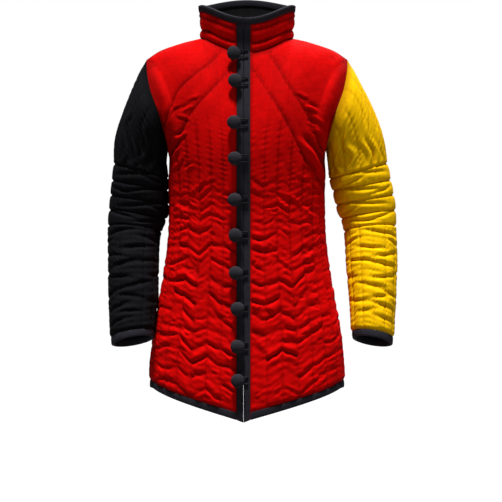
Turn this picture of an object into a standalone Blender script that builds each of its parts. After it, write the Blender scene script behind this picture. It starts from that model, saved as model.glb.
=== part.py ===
"""A worn quilted gambeson: red body and standing collar, one black and one yellow sleeve, black bindings,
ten cloth ball buttons and their cord loops. Every piece that is cut and sewn is a solid of its own.

Metres, +Z up. The wearer faces -Y, so the wearer's right side is at -X. The origin is the middle of the
neck's base, between the shoulders that carry the garment.
"""

import math
from collections import namedtuple

import bmesh
import bpy
from mathutils import Vector
from mathutils.bvhtree import BVHTree

# Cloth and padding
GAP = 0.00035  # between pieces that touch
SEAM_HALF = 0.0002  # each panel's distance from a seam's middle
LINING_DEPTH = 0.0022  # shaped surface to the plain inside
LINE_HEIGHT = 0.0016  # shaped surface to the cloth on a quilting line or an edge
BODY_PAD = 0.0068  # shaped surface to the top of a body channel
FIRST_PAD = 0.0036  # the same on the flatter channel beside the front bindings
CHEST_PAD = 0.0052  # the same on the smooth upper chest
SLEEVE_PAD = 0.0062
COLLAR_PAD = 0.0058
BINDING_WIDTH = 0.0125
BINDING_CLOTH = 0.0012
BINDING_SHY = 0.05  # share of its width by which a binding's leg stops short of its line

# Edges shaded sharp: hollows such as quilting lines from a small bend on, ridges from a large one
SHARP_HOLLOW = math.radians(-12)
SHARP_RIDGE = math.radians(50)

# Front opening
OPENING_X = -0.0070  # the opening lies a little to the wearer's right
OPENING_HALF = 0.0021  # panel edge to the opening's middle, with room for the binding

# Body
CHANNELS = 8  # upright channels on each half of the body
FRONT_NECK_COLUMNS = 6  # the first one is the binding's
BACK_NECK_COLUMNS = 5
SHOULDER_COLUMNS = 4
ARMHOLE_COLUMNS = 7
UPPER_ROWS = 9
CHEST_HEIGHT = -0.268
FRONT_DROP = 0.062  # the hem's middle hangs this much lower at the front
BACK_DROP = 0.012
DROP_STARTS = -0.42
DROP_REACH = 0.82  # share of the half panel over which the hem rises
HEM_HEIGHT = -0.747
SLEEVE_AT_SHOULDER = (0.45, 0.75)  # the sleeve wall's side at the shoulder point: outward and up
SLEEVE_AT_ARMPIT = (-0.75, -0.75)
COLLAR_SHARE = 1.2  # how far the neck's seam leans from the body's wall to the collar's
SLEEVE_SHARE = 0.6  # how far the armhole's seam leans from the body's wall to the sleeve's
BODY_TAPER = 0.085  # the body's padding thins out over this distance to the armhole
NECK_TAPER = 0.025  # and over this distance to the neck and shoulder seams
SLEEVE_TAPER = 0.030  # the sleeve's padding does so over this distance
CALM_PASSES = 3  # times that the surface's directions are averaged with their neighbours'

Section = namedtuple("Section", "height half_width front back squareness")
SECTIONS = (
    Section(-0.747, 0.2060, 0.139, 0.150, 2.25),
    Section(-0.673, 0.2000, 0.133, 0.149, 2.30),
    Section(-0.615, 0.1930, 0.129, 0.144, 2.30),
    Section(-0.542, 0.1790, 0.125, 0.130, 2.30),
    Section(-0.449, 0.1650, 0.120, 0.113, 2.30),
    Section(-0.368, 0.1610, 0.118, 0.107, 2.35),
    Section(-0.290, 0.1630, 0.124, 0.115, 2.40),
    Section(-0.245, 0.1650, 0.128, 0.123, 2.45),
)

# Creases across the lower body, from the hem up, by their height at the side
Crease = namedtuple("Crease", "height depth wave")
CREASES = (
    Crease(-0.706, 0.35, 0.003),
    Crease(-0.676, 0.60, 0.006),
    Crease(-0.645, 0.50, 0.007),
    Crease(-0.600, 0.70, 0.007),
    Crease(-0.563, 0.45, 0.006),
    Crease(-0.524, 0.65, 0.007),
    Crease(-0.478, 0.55, 0.006),
    Crease(-0.432, 0.40, 0.004),
    Crease(-0.392, 0.30, 0.002),
)
ROWS_ABOVE_CREASES = 5

# Neck, shoulder and armhole, on the shaped surface
NECK_HALF_WIDTH = 0.0965
NECK_FRONT = 0.0860
NECK_BACK = 0.0820
NECK_DIP = 0.0400  # how far the neck seam falls to the front
NECK_DIP_POWER = 2.8
NECK_RISE = 0.0090  # how far it rises to the back
NECK_SIDE_HEIGHT = -0.0030
Spot = namedtuple("Spot", "across depth height")
SHOULDER_SEAM = (
    Spot(0.0965, 0.0, -0.0030),
    Spot(0.1400, 0.0, -0.0130),
    Spot(0.1850, 0.0, -0.0285),
    Spot(0.2150, 0.0, -0.0480),
)
ARMHOLE_FRONT = (
    Spot(0.2150, 0.000, -0.0480),
    Spot(0.2120, 0.036, -0.0780),
    Spot(0.2030, 0.060, -0.1200),
    Spot(0.1865, 0.068, -0.1650),
    Spot(0.1730, 0.050, -0.2120),
    Spot(0.1650, 0.000, -0.2360),
)
ARMHOLE_BACK = (
    Spot(0.2150, 0.000, -0.0480),
    Spot(0.2120, 0.038, -0.0740),
    Spot(0.2040, 0.064, -0.1150),
    Spot(0.1870, 0.073, -0.1650),
    Spot(0.1735, 0.054, -0.2120),
    Spot(0.1650, 0.000, -0.2360),
)
# Direction in which the cloth arrives at its top edge, and how strongly it holds that direction
Lean = namedtuple("Lean", "place out back up reach")
FRONT_LEANS = (
    Lean("neck middle", 0.00, 0.32, 0.95, 0.9),
    Lean("neck side", 0.00, 0.97, 0.16, 1.2),
    Lean("shoulder point", 0.45, 0.85, 0.10, 0.9),
    Lean("armhole middle", 0.50, 0.20, 0.85, 0.9),
    Lean("armpit", 0.00, 0.00, 1.00, 0.8),
)
BACK_LEANS = (
    Lean("neck middle", 0.00, 0.42, 0.90, 0.9),
    Lean("neck side", 0.00, 0.97, 0.16, 1.2),
    Lean("shoulder point", 0.45, 0.85, 0.10, 0.9),
    Lean("armhole middle", 0.50, 0.20, 0.85, 0.9),
    Lean("armpit", 0.00, 0.00, 1.00, 0.8),
)
NECK_LEAN_POWER = 2.4  # along the neck the direction changes late, close to its side

# Slanting quilting lines on the chest, two on each side, by distance from the centre line and height;
# the first one of each side also ends the upright channels
Slant = namedtuple("Slant", "across height")
SLANTS = {
    -1: (
        (
            Slant(0.000, -0.040),
            Slant(0.030, -0.070),
            Slant(0.055, -0.100),
            Slant(0.090, -0.139),
            Slant(0.118, -0.174),
            Slant(0.142, -0.226),
            Slant(0.170, -0.298),
        ),
        (
            Slant(0.052, -0.036),
            Slant(0.080, -0.066),
            Slant(0.112, -0.092),
            Slant(0.143, -0.121),
            Slant(0.160, -0.158),
            Slant(0.176, -0.199),
        ),
    ),
    1: (
        (
            Slant(0.000, -0.060),
            Slant(0.030, -0.103),
            Slant(0.068, -0.164),
            Slant(0.107, -0.239),
            Slant(0.130, -0.282),
            Slant(0.170, -0.330),
        ),
        (
            Slant(0.045, -0.040),
            Slant(0.070, -0.082),
            Slant(0.088, -0.114),
            Slant(0.110, -0.149),
            Slant(0.131, -0.185),
            Slant(0.154, -0.236),
            Slant(0.175, -0.291),
        ),
    ),
}
SLANT_WIDTH = 0.010
CHANNELS_END = -0.150  # the channels beside the opening fade out above this

# Collar, as shares of its height from the neck seam
COLLAR_SIDE = 0.069
COLLAR_FRONT = 0.070
COLLAR_BACK = 0.085
COLLAR_WAIST = 0.0020  # how much the collar draws in above its seam
COLLAR_FLARE = 0.0050  # how much its top stands out
COLLAR_FORWARD = 0.0060  # how much its top leans forward
COLLAR_LINES = (0.27, 0.66)

# Sleeves: rings from the armpit to the cuff, by the height of their middle
Ring = namedtuple("Ring", "height depth radius_y slope_out slope_front right_x right_r left_x left_r")
RINGS = (
    Ring(-0.262, 0.006, 0.063, 0.45, 0.00, 0.2285, 0.0510, 0.2370, 0.0555),
    Ring(-0.286, 0.008, 0.063, 0.28, 0.00, 0.2281, 0.0538, 0.2400, 0.0570),
    Ring(-0.319, 0.010, 0.062, 0.18, 0.00, 0.2303, 0.0558, 0.2475, 0.0575),
    Ring(-0.362, 0.012, 0.061, 0.17, 0.02, 0.2320, 0.0583, 0.2570, 0.0565),
    Ring(-0.383, 0.011, 0.059, 0.14, 0.06, 0.2365, 0.0560, 0.2620, 0.0530),
    Ring(-0.420, 0.004, 0.057, 0.08, 0.14, 0.2425, 0.0510, 0.2655, 0.0500),
    Ring(-0.484, -0.014, 0.055, 0.00, 0.22, 0.2430, 0.0485, 0.2670, 0.0490),
    Ring(-0.527, -0.027, 0.053, -0.04, 0.25, 0.2425, 0.0475, 0.2670, 0.0460),
    Ring(-0.563, -0.038, 0.051, -0.08, 0.26, 0.2410, 0.0470, 0.2675, 0.0440),
    Ring(-0.595, -0.048, 0.049, -0.12, 0.26, 0.2425, 0.0440, 0.2665, 0.0415),
    Ring(-0.646, -0.062, 0.046, -0.19, 0.26, 0.2415, 0.0420, 0.2655, 0.0395),
)
SLEEVE_CHANNELS = 12
CAP_ROWS = 7
ELBOW_TOP = -0.286
ELBOW_BAND = 0.031
ELBOW_BANDS = 4
FOREARM_ROWS = 8
CUFF_HEIGHT = -0.646
# Direction in which the sleeve leaves the armhole, and how strongly it holds that direction
Leave = namedtuple("Leave", "place out forward down reach")
LEAVES = (
    Leave("shoulder point", 0.39, 0.00, 0.92, 0.7),
    Leave("front or back", 0.80, 0.22, 0.45, 0.8),
    Leave("armpit", 0.90, 0.00, 0.45, 0.7),
)
CRUMPLE = 0.35  # share by which every other forearm row is pressed in

# Buttons and loops
BUTTON_SEGMENTS = 9
CORD_RADIUS = 0.0015
LOOP_HALF = 0.0072  # half the distance between a loop's two strands
LOOP_RIGHT = 0.0100  # how far past the opening the strands reach on the left binding
Button = namedtuple("Button", "height across")
BUTTONS = (
    Button(-0.043, -0.0278),
    Button(-0.102, -0.0250),
    Button(-0.190, -0.0268),
    Button(-0.265, -0.0250),
    Button(-0.350, -0.0258),
    Button(-0.424, -0.0240),
    Button(-0.502, -0.0232),
    Button(-0.576, -0.0200),
    Button(-0.654, -0.0198),
    Button(-0.724, -0.0190),
)
Ledge = namedtuple("Ledge", "radius rise")
BUTTON_PROFILE = (
    Ledge(0.0036, 0.0000),
    Ledge(0.0036, 0.0046),
    Ledge(0.0105, 0.0056),
    Ledge(0.0145, 0.0105),
    Ledge(0.0122, 0.0158),
    Ledge(0.0064, 0.0190),
)

RED = (0.62, 0.0, 0.0, 1.0)
BLACK = (0.010, 0.010, 0.011, 1.0)
YELLOW = (0.90, 0.45, 0.0, 1.0)
TAPE = (0.020, 0.020, 0.024, 1.0)


def clear_scene():
    for item in list(bpy.data.objects):
        bpy.data.objects.remove(item, do_unlink=True)


def cloth_material(name, colour):
    material = bpy.data.materials.new(name)
    material.use_nodes = True
    shader = material.node_tree.nodes["Principled BSDF"]
    shader.inputs["Base Color"].default_value = colour
    shader.inputs["Roughness"].default_value = 0.9
    shader.inputs["Metallic"].default_value = 0.0
    return material


def smooth(share):
    share = min(1.0, max(0.0, share))
    return share * share * (3.0 - 2.0 * share)


def mixed(first, second, share):
    return first + (second - first) * share


def read_table(rows, place, key, column):
    """Reads a named column at a place along the table's key column, on a smooth curve through the rows."""
    ordered = sorted(rows, key=lambda row: getattr(row, key))
    keys = [getattr(row, key) for row in ordered]
    values = [getattr(row, column) for row in ordered]
    place = min(keys[-1], max(keys[0], place))
    last = len(keys) - 2
    span = max(i for i in range(last + 1) if keys[i] <= place)

    def slope(i):
        low, high = max(0, i - 1), min(last + 1, i + 1)
        return (values[high] - values[low]) / (keys[high] - keys[low])

    width = keys[span + 1] - keys[span]
    t = (place - keys[span]) / width
    curve = (2 * t**3 - 3 * t**2 + 1) * values[span] + (3 * t**2 - 2 * t**3) * values[span + 1]
    return curve + width * ((t**3 - 2 * t**2 + t) * slope(span) + (t**3 - t**2) * slope(span + 1))


def hermite(start, start_pull, end, end_pull, t):
    near = (2 * t**3 - 3 * t**2 + 1) * start + (3 * t**2 - 2 * t**3) * end
    return near + (t**3 - 2 * t**2 + t) * start_pull + (t**3 - t**2) * end_pull


def spline_through(points, steps=10):
    """Fine points of a smooth curve through a few points."""
    fine = []
    for i in range(len(points) - 1):
        before = points[max(0, i - 1)]
        after = points[min(len(points) - 1, i + 2)]
        start_pull = (points[i + 1] - before) / (2 if i else 1)
        end_pull = (after - points[i]) / (2 if i < len(points) - 2 else 1)
        for step in range(steps):
            fine.append(hermite(points[i], start_pull, points[i + 1], end_pull, step / steps))
    return fine + [points[-1]]


def lengths_along(points):
    total = [0.0]
    for first, second in zip(points, points[1:]):
        total.append(total[-1] + (second - first).length)
    return total


def point_along(points, lengths, distance):
    for i in range(len(points) - 1):
        if distance <= lengths[i + 1] or i == len(points) - 2:
            share = (distance - lengths[i]) / (lengths[i + 1] - lengths[i])
            return points[i].lerp(points[i + 1], share)


class Shell:
    """The points and faces of one piece."""

    def __init__(self):
        self.points = []
        self.faces = []

    def add(self, points):
        start = len(self.points)
        self.points.extend(points)
        return list(range(start, len(self.points)))

    def cover(self, rows, closed=False, cut_across=()):
        """Covers rows of equal length with triangles, all cut the same way but for the named squares."""
        for lower, upper in zip(rows, rows[1:]):
            count = len(lower) if closed else len(lower) - 1
            for k in range(count):
                after = (k + 1) % len(lower)
                if k in cut_across:
                    self.faces.append((lower[k], lower[after], upper[k]))
                    self.faces.append((lower[after], upper[after], upper[k]))
                else:
                    self.faces.append((lower[k], lower[after], upper[after]))
                    self.faces.append((lower[k], upper[after], upper[k]))

    def lace(self, first, second, closed=False):
        """Covers the strip between two rows of unequal length."""
        if closed:
            first, second = first + first[:1], second + second[:1]
        first_lengths = lengths_along([self.points[i] for i in first])
        second_lengths = lengths_along([self.points[i] for i in second])
        i = j = 0
        while i < len(first) - 1 or j < len(second) - 1:
            next_first = first_lengths[i + 1] / first_lengths[-1] if i < len(first) - 1 else 2.0
            next_second = second_lengths[j + 1] / second_lengths[-1] if j < len(second) - 1 else 2.0
            if next_first <= next_second:
                self.faces.append((first[i], first[i + 1], second[j]))
                i += 1
            else:
                self.faces.append((first[i], second[j + 1], second[j]))
                j += 1

    def make(self, name, material):
        mesh = bpy.data.meshes.new(name)
        mesh.from_pydata(self.points, [], self.faces)
        work = bmesh.new()
        work.from_mesh(mesh)
        bmesh.ops.recalc_face_normals(work, faces=work.faces)
        for face in work.faces:
            face.smooth = True
        for edge in work.edges:
            bend = edge.calc_face_angle_signed()
            edge.smooth = SHARP_HOLLOW < bend < SHARP_RIDGE
        work.to_mesh(mesh)
        work.free()
        mesh.materials.append(material)
        piece = bpy.data.objects.new(name, mesh)
        bpy.context.collection.objects.link(piece)
        return piece


def outward_normals(rows, closed=False, away_from=None):
    """Unit normals of a grid of points, turned away from a given inner point for each row."""
    normals = []
    last = len(rows) - 1
    for j, row in enumerate(rows):
        line = []
        for k, point in enumerate(row):
            if closed:
                along = row[(k + 1) % len(row)] - row[k - 1]
            else:
                along = row[min(len(row) - 1, k + 1)] - row[max(0, k - 1)]
            up = rows[min(last, j + 1)][k] - rows[max(0, j - 1)][k]
            normal = along.cross(up).normalized()
            if normal.dot(point - away_from(j)) < 0:
                normal = -normal
            line.append(normal)
        normals.append(line)
    return normals


def calmed(normals):
    """Directions averaged with their neighbours' along and across the rows."""
    for _ in range(CALM_PASSES):
        last, end = len(normals) - 1, len(normals[0]) - 1
        fresh = []
        for j, line in enumerate(normals):
            row = []
            for k, normal in enumerate(line):
                beside = line[max(0, k - 1)] + line[min(end, k + 1)]
                beside += normals[max(0, j - 1)][k] + normals[min(last, j + 1)][k]
                row.append((normal + beside * 0.5).normalized())
            fresh.append(row)
        normals = fresh
    return normals


def pushed(rows, normals, heights):
    return [
        [point + normal * height for point, normal, height in zip(*lines)]
        for lines in zip(rows, normals, heights)
    ]


# The body: rows run round it, columns run from the hem to the neck, shoulder or armhole


def half_section(height, face):
    """Half of the body's level section on one face, from just across the centre line to the side seam."""
    half_width = read_table(SECTIONS, height, "height", "half_width")
    depth = read_table(SECTIONS, height, "height", face)
    power = 2.0 / read_table(SECTIONS, height, "height", "squareness")
    points = []
    for step in range(-6, 61):
        angle = math.radians(step * 1.5)
        across = math.copysign(half_width * abs(math.sin(angle)) ** power, angle)
        points.append(Vector((across, depth * math.cos(angle) ** power if step < 60 else 0.0, height)))
    return points


def half_neckline(face):
    depth = NECK_FRONT if face == "front" else NECK_BACK
    points = []
    for step in range(-6, 61):
        angle = math.radians(step * 1.5)
        turn = math.cos(angle) if step < 60 else 0.0
        if face == "front":
            height = NECK_SIDE_HEIGHT - (NECK_DIP + NECK_SIDE_HEIGHT) * turn**NECK_DIP_POWER
        else:
            height = NECK_SIDE_HEIGHT + NECK_RISE * turn**2
        points.append(Vector((NECK_HALF_WIDTH * math.sin(angle), depth * turn, height)))
    return points


def column_distances(total, side, face, columns):
    """Distances of the columns from the centre line, the last one on the far edge."""
    if face == "back":
        return [total * k / columns for k in range(columns + 1)]
    start = side * OPENING_X + OPENING_HALF
    line = start + BINDING_WIDTH
    return [start] + [line + (total - line) * k / (columns - 1) for k in range(columns)]


def spread_on(points, side, face, columns, height):
    """Columns' points on a curve whose seventh point lies on the centre line."""
    lengths = lengths_along(points)
    centre = lengths[6]
    total = lengths[-1] - centre
    distances = column_distances(total, side, face, columns)
    return [point_along(points, lengths, centre + distance) for distance in distances]


def spots(table):
    return [Vector((spot.across, spot.depth, spot.height)) for spot in table]


def spread_evenly(points, columns):
    fine = spline_through(points)
    lengths = lengths_along(fine)
    return [point_along(fine, lengths, lengths[-1] * k / columns) for k in range(1, columns + 1)]


def top_edge(side, face):
    """The upper edge's points: neckline, shoulder seam, armhole."""
    neck_columns = FRONT_NECK_COLUMNS if face == "front" else BACK_NECK_COLUMNS
    armhole = ARMHOLE_FRONT if face == "front" else ARMHOLE_BACK
    points = spread_on(half_neckline(face), side, face, neck_columns, 0.0)
    points += spread_evenly(spots(SHOULDER_SEAM), SHOULDER_COLUMNS)
    return points + spread_evenly(spots(armhole), ARMHOLE_COLUMNS)


def top_leans(face):
    """Each column's direction at the top edge, with how strongly it holds it."""
    neck_columns = FRONT_NECK_COLUMNS if face == "front" else BACK_NECK_COLUMNS
    leans = FRONT_LEANS if face == "front" else BACK_LEANS
    stops = [0, neck_columns, neck_columns + SHOULDER_COLUMNS]
    stops += [stops[-1] + ARMHOLE_COLUMNS // 2 + 1, stops[-1] + ARMHOLE_COLUMNS]
    result = []
    for k in range(stops[-1] + 1):
        part = max(i for i in range(4) if stops[i] <= k)
        share = (k - stops[part]) / (stops[part + 1] - stops[part])
        share = smooth(share) if part else share**NECK_LEAN_POWER
        first, second = leans[part], leans[part + 1]
        out, back, up, reach = (mixed(first[i], second[i], share) for i in range(1, 5))
        result.append(Vector((out, -back, up)).normalized() * reach)
    return result


def body_rows():
    """Heights of the rows at the side seam, hem first, with each row's crease where it has one."""
    rows = [(HEM_HEIGHT, None), (HEM_HEIGHT + BINDING_WIDTH, None)]
    for crease in CREASES:
        rows.append(((rows[-1][0] + crease.height) / 2, None))
        rows.append((crease.height, crease))
    last = rows[-1][0]
    for step in range(1, ROWS_ABOVE_CREASES + 1):
        rows.append((mixed(last, CHEST_HEIGHT, step / ROWS_ABOVE_CREASES), None))
    return rows


def dropped(height, share, face):
    """A row's height at a share of the way from the centre line to the side seam."""
    drop = FRONT_DROP if face == "front" else BACK_DROP
    fall = max(0.0, 1.0 - share / DROP_REACH) ** 1.1
    return height - drop * fall * min(1.0, max(0.0, (DROP_STARTS - height) / (DROP_STARTS - HEM_HEIGHT)))


def line_columns(face):
    """Columns that lie on quilting lines; on the front the first of them is the binding's edge."""
    first = 1 if face == "front" else 0
    return range(first, first + 2 * CHANNELS + 1, 2)


def zigzag(column, columns, face):
    """Up or down on the quilting lines by turns, level at the edges and in the channels' middles."""
    lines = line_columns(face)
    if column not in lines or column in (lines[0], columns):
        return 0.0
    return -1.0 if lines.index(column) % 2 else 1.0


def body_surface(side, face, wavy):
    """The shaped surface of half a body panel, as rows of points at +X with the depth positive."""
    columns = 2 * CHANNELS + (1 if face == "front" else 0)
    rows = []
    for height, crease in body_rows():
        level = spread_on(half_section(height, face), side, face, columns, height)
        reach = level[-1].x
        line = []
        for k in range(columns + 1):
            share = min(1.0, k / columns)
            place = dropped(height, share, face)
            if wavy and crease:
                place += crease.wave * zigzag(k, columns, face)
            ring = spread_on(half_section(place, face), side, face, columns, place)
            line.append(Vector((ring[k].x, ring[k].y, place)))
        rows.append(line)
    chest, below = rows[-1], rows[-2]
    tops = top_edge(side, face)
    leans = top_leans(face)
    for step in range(1, UPPER_ROWS + 1):
        line = []
        for k in range(columns + 1):
            length = (tops[k] - chest[k]).length
            start_pull = (chest[k] - below[k]).normalized() * length
            line.append(hermite(chest[k], start_pull, tops[k], leans[k] * length, step / UPPER_ROWS))
        rows.append(line)
    return rows


def slant_distance(table, across, height):
    """Height above a slanting line, taken square to it roughly."""
    if across < table[0].across:
        return 1.0
    line = read_table(table, across, "across", "height")
    return (height - line) * 0.6


def chest_field(side, across, height):
    """How much of the upright channels shows on the front, and how deep a slanting line presses."""
    first, second = SLANTS[side]
    below = smooth((read_table(first, across, "across", "height") - height) / 0.030)
    near_opening = smooth((CHANNELS_END + 0.03 - height) / 0.05) if across < 0.06 else 1.0
    press = 0.0
    for table in (first, second):
        distance = slant_distance(table, across, height)
        press = max(press, math.exp(-((distance / SLANT_WIDTH) ** 2)))
    return below * near_opening, press


def body_heights(rows, side, face):
    """Height of the outer cloth over the shaped surface at each point."""
    plan = body_rows()
    columns = len(rows[0]) - 1
    lines = line_columns(face)
    shoulder_end = columns - ARMHOLE_COLUMNS
    heights = []
    for j, row in enumerate(rows):
        crease = plan[j][1] if j < len(plan) else None
        line = []
        for k, point in enumerate(row):
            on_edge = j in (0, 1, len(rows) - 1) or k == columns or (face == "front" and k < 2)
            if on_edge:
                line.append(LINE_HEIGHT)
                continue
            pad = FIRST_PAD if face == "front" and k == 2 else BODY_PAD
            channels, press = 1.0, 0.0
            if face == "front":
                channels, press = chest_field(side, abs(point.x), point.z)
            channel = LINE_HEIGHT if k in lines else pad
            height = mixed(min(CHEST_PAD, pad), channel, channels)
            height = mixed(height, LINE_HEIGHT, press * 0.9)
            if crease:
                height = mixed(height, LINE_HEIGHT, crease.depth)
            taper = BODY_TAPER if k >= shoulder_end else NECK_TAPER
            to_edge = lengths_along([upper[k] for upper in rows[j:]])[-1]
            height = mixed(LINE_HEIGHT, height, smooth(to_edge / taper))
            line.append(height)
        heights.append(line)
    return heights


def flip_to(side, face, point):
    """Brings a point from the half at +X and positive depth to its side and face."""
    return Vector((side * point.x, -point.y if face == "front" else point.y, point.z))


def seam_flat(vector):
    return Vector((vector.x, 0.0, vector.z)).normalized()


Half = namedtuple("Half", "outer inner inner_rows tops normals sleeve_edge collar_edge")


def half_panel(side, face):
    """Half of the back, or a whole front panel: outer rows, plain inner rows and the edges others meet."""
    neck_columns = FRONT_NECK_COLUMNS if face == "front" else BACK_NECK_COLUMNS
    shoulder_end = neck_columns + SHOULDER_COLUMNS
    wavy = [[flip_to(side, face, p) for p in row] for row in body_surface(side, face, True)]
    plain = [[flip_to(side, face, p) for p in row] for row in body_surface(side, face, False)]
    heights = body_heights(body_surface(side, face, True), side, face)
    depth_sign = -1.0 if face == "front" else 1.0

    def core(j):
        return Vector((side * 0.05, depth_sign * 0.02, plain[j][0].z if j < len(body_rows()) else -0.2))

    normals = calmed(outward_normals(plain, away_from=core))
    columns = len(plain[0]) - 1
    for j in range(len(plain)):
        normals[j][columns] = seam_flat(normals[j][columns])
        if face == "back":
            normals[j][0] = Vector((0.0, normals[j][0].y, normals[j][0].z)).normalized()
    last = len(plain) - 1
    seams = edge_mitres(side, face, plain[last], normals[last], neck_columns, shoulder_end)
    normals[last] = [seam[0] for seam in seams]
    keep = SEAM_HALF * depth_sign
    for rows in (wavy, plain):
        for j in range(last + 1):
            rows[j][columns] = rows[j][columns] + Vector((0.0, keep, 0.0))
        for k in range(columns + 1):
            if neck_columns <= k <= shoulder_end:
                rows[last][k] = Vector((rows[last][k].x, keep, rows[last][k].z))
            shift = seams[k][1] * -SEAM_HALF
            if k == neck_columns or k >= shoulder_end:
                shift = Vector((shift.x, 0.0, shift.z))
            if k <= neck_columns or k >= shoulder_end:
                rows[last][k] = rows[last][k] + shift
    outer = pushed(wavy, normals, heights)
    inner = pushed(plain, normals, [[-LINING_DEPTH] * (columns + 1)] * (last + 1))
    low = len(body_rows()) - 1
    inner_rows = [0, 1] + list(range(4, low - 1, 3)) + [low] + list(range(low + 2, last, 2)) + [last]
    return Half(outer, inner, inner_rows, last, normals, seams[shoulder_end:], seams[: neck_columns + 1])


def edge_mitres(side, face, top, normals, neck_columns, shoulder_end):
    """For each point of the top edge, the direction through its seam's thickness and the one across it."""
    result = []
    last = len(top) - 1
    for k, point in enumerate(top):
        along = (top[min(last, k + 1)] - top[max(0, k - 1)]).normalized()
        if k <= neck_columns:
            away = Vector((point.x, point.y, 0.0)).normalized()
            mitre = (normals[k] + away * COLLAR_SHARE).normalized()
            if k == neck_columns:
                mitre, along = seam_flat(mitre), Vector((0.0, 1.0, 0.0))
            across = along.cross(mitre).normalized()
            across = across if across.z > 0 else -across
        elif k < shoulder_end:
            mitre = seam_flat(normals[k])
            across = Vector((0.0, 1.0 if face == "front" else -1.0, 0.0))
        else:
            share = (k - shoulder_end) / (last - shoulder_end)
            turn = smooth(share)
            out = mixed(SLEEVE_AT_SHOULDER[0], SLEEVE_AT_ARMPIT[0], turn)
            up = mixed(SLEEVE_AT_SHOULDER[1], SLEEVE_AT_ARMPIT[1], turn)
            forward = (-1.0 if face == "front" else 1.0) * math.sin(math.pi * share)
            sleeve_out = Vector((side * out, forward, up))
            mitre = (normals[k] + sleeve_out.normalized() * SLEEVE_SHARE).normalized()
            if k in (shoulder_end, last):
                mitre, along = seam_flat(mitre), Vector((0.0, 1.0, 0.0))
            across = along.cross(mitre).normalized()
            across = across if across.x * side > 0 else -across
        result.append((mitre, across, point))
    return result


def close_panel(shell, outer, inner, inner_rows):
    """Joins outer and inner rows into one closed wall."""
    outside = [shell.add(row) for row in outer]
    inside = [shell.add(inner[j]) for j in inner_rows]
    shell.cover(outside)
    shell.cover(inside)
    shell.cover([inside[0], outside[0]])
    shell.cover([inside[-1], outside[-1]])
    shell.lace([row[0] for row in outside], [row[0] for row in inside])
    shell.lace([row[-1] for row in outside], [row[-1] for row in inside])


def front_panel(name, side, material):
    half = half_panel(side, "front")
    shell = Shell()
    close_panel(shell, half.outer, half.inner, half.inner_rows)
    return half, shell.make(name, material)


def back_panel(material):
    right, left = half_panel(-1, "back"), half_panel(1, "back")
    shell = Shell()
    outer = [first[:0:-1] + second for first, second in zip(right.outer, left.outer)]
    inner = [first[:0:-1] + second for first, second in zip(right.inner, left.inner)]
    close_panel(shell, outer, inner, right.inner_rows)
    return right, left, shell.make("back", material)


# Sleeves


def armhole_loop(front, back):
    """The armhole's seam from the shoulder point round the front to the armpit and back up."""
    return list(front.sleeve_edge) + list(back.sleeve_edge[-2:0:-1])


def smooth_armhole(side, angle):
    """A point of the armhole's smooth curve: 0 at the shoulder point, half a turn at the armpit."""
    turn = angle % (2 * math.pi)
    on_front = turn <= math.pi
    share = turn / math.pi if on_front else (2 * math.pi - turn) / math.pi
    fine = spline_through(spots(ARMHOLE_FRONT if on_front else ARMHOLE_BACK))
    lengths = lengths_along(fine)
    return flip_to(side, "front" if on_front else "back", point_along(fine, lengths, share * lengths[-1]))


def ring_point(side, height, angle):
    """A point of the sleeve's ring whose middle is at that height."""
    name = "right" if side < 0 else "left"
    column = {key: read_table(RINGS, height, "height", key) for key in Ring._fields[1:]}
    out = column[name + "_r"] * math.cos(angle)
    forward = column["radius_y"] * math.sin(angle)
    rise = column["slope_out"] * out + column["slope_front"] * forward
    return Vector((side * (column[name + "_x"] + out), column["depth"] - forward, height + rise))


def sleeve_plan():
    """The rows below the cap: each ring's height and what it is."""
    plan = []
    for half_band in range(2 * ELBOW_BANDS + 1):
        kind = "band line" if half_band % 2 == 0 else "band"
        plan.append((ELBOW_TOP - ELBOW_BAND * half_band / 2, kind))
    start = plan[-1][0]
    end = CUFF_HEIGHT + BINDING_WIDTH
    for step in range(1, FOREARM_ROWS + 1):
        kind = "edge" if step == FOREARM_ROWS else ("crumple" if step % 2 else "forearm")
        plan.append((mixed(start, end, step / FOREARM_ROWS), kind))
    return plan + [(CUFF_HEIGHT, "edge")]


def leaving(side, angle):
    """The sleeve's direction and pull as it leaves the armhole."""
    turn = angle / math.pi if angle <= math.pi else 2.0 - angle / math.pi
    part = 0 if turn < 0.5 else 1
    share = smooth(2.0 * turn - part)
    first, second = LEAVES[part], LEAVES[part + 1]
    forward = mixed(first.forward, second.forward, share) * (-1.0 if angle <= math.pi else 1.0)
    out = side * mixed(first.out, second.out, share)
    direction = Vector((out, forward, -mixed(first.down, second.down, share)))
    return direction.normalized() * mixed(first.reach, second.reach, share)


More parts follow.
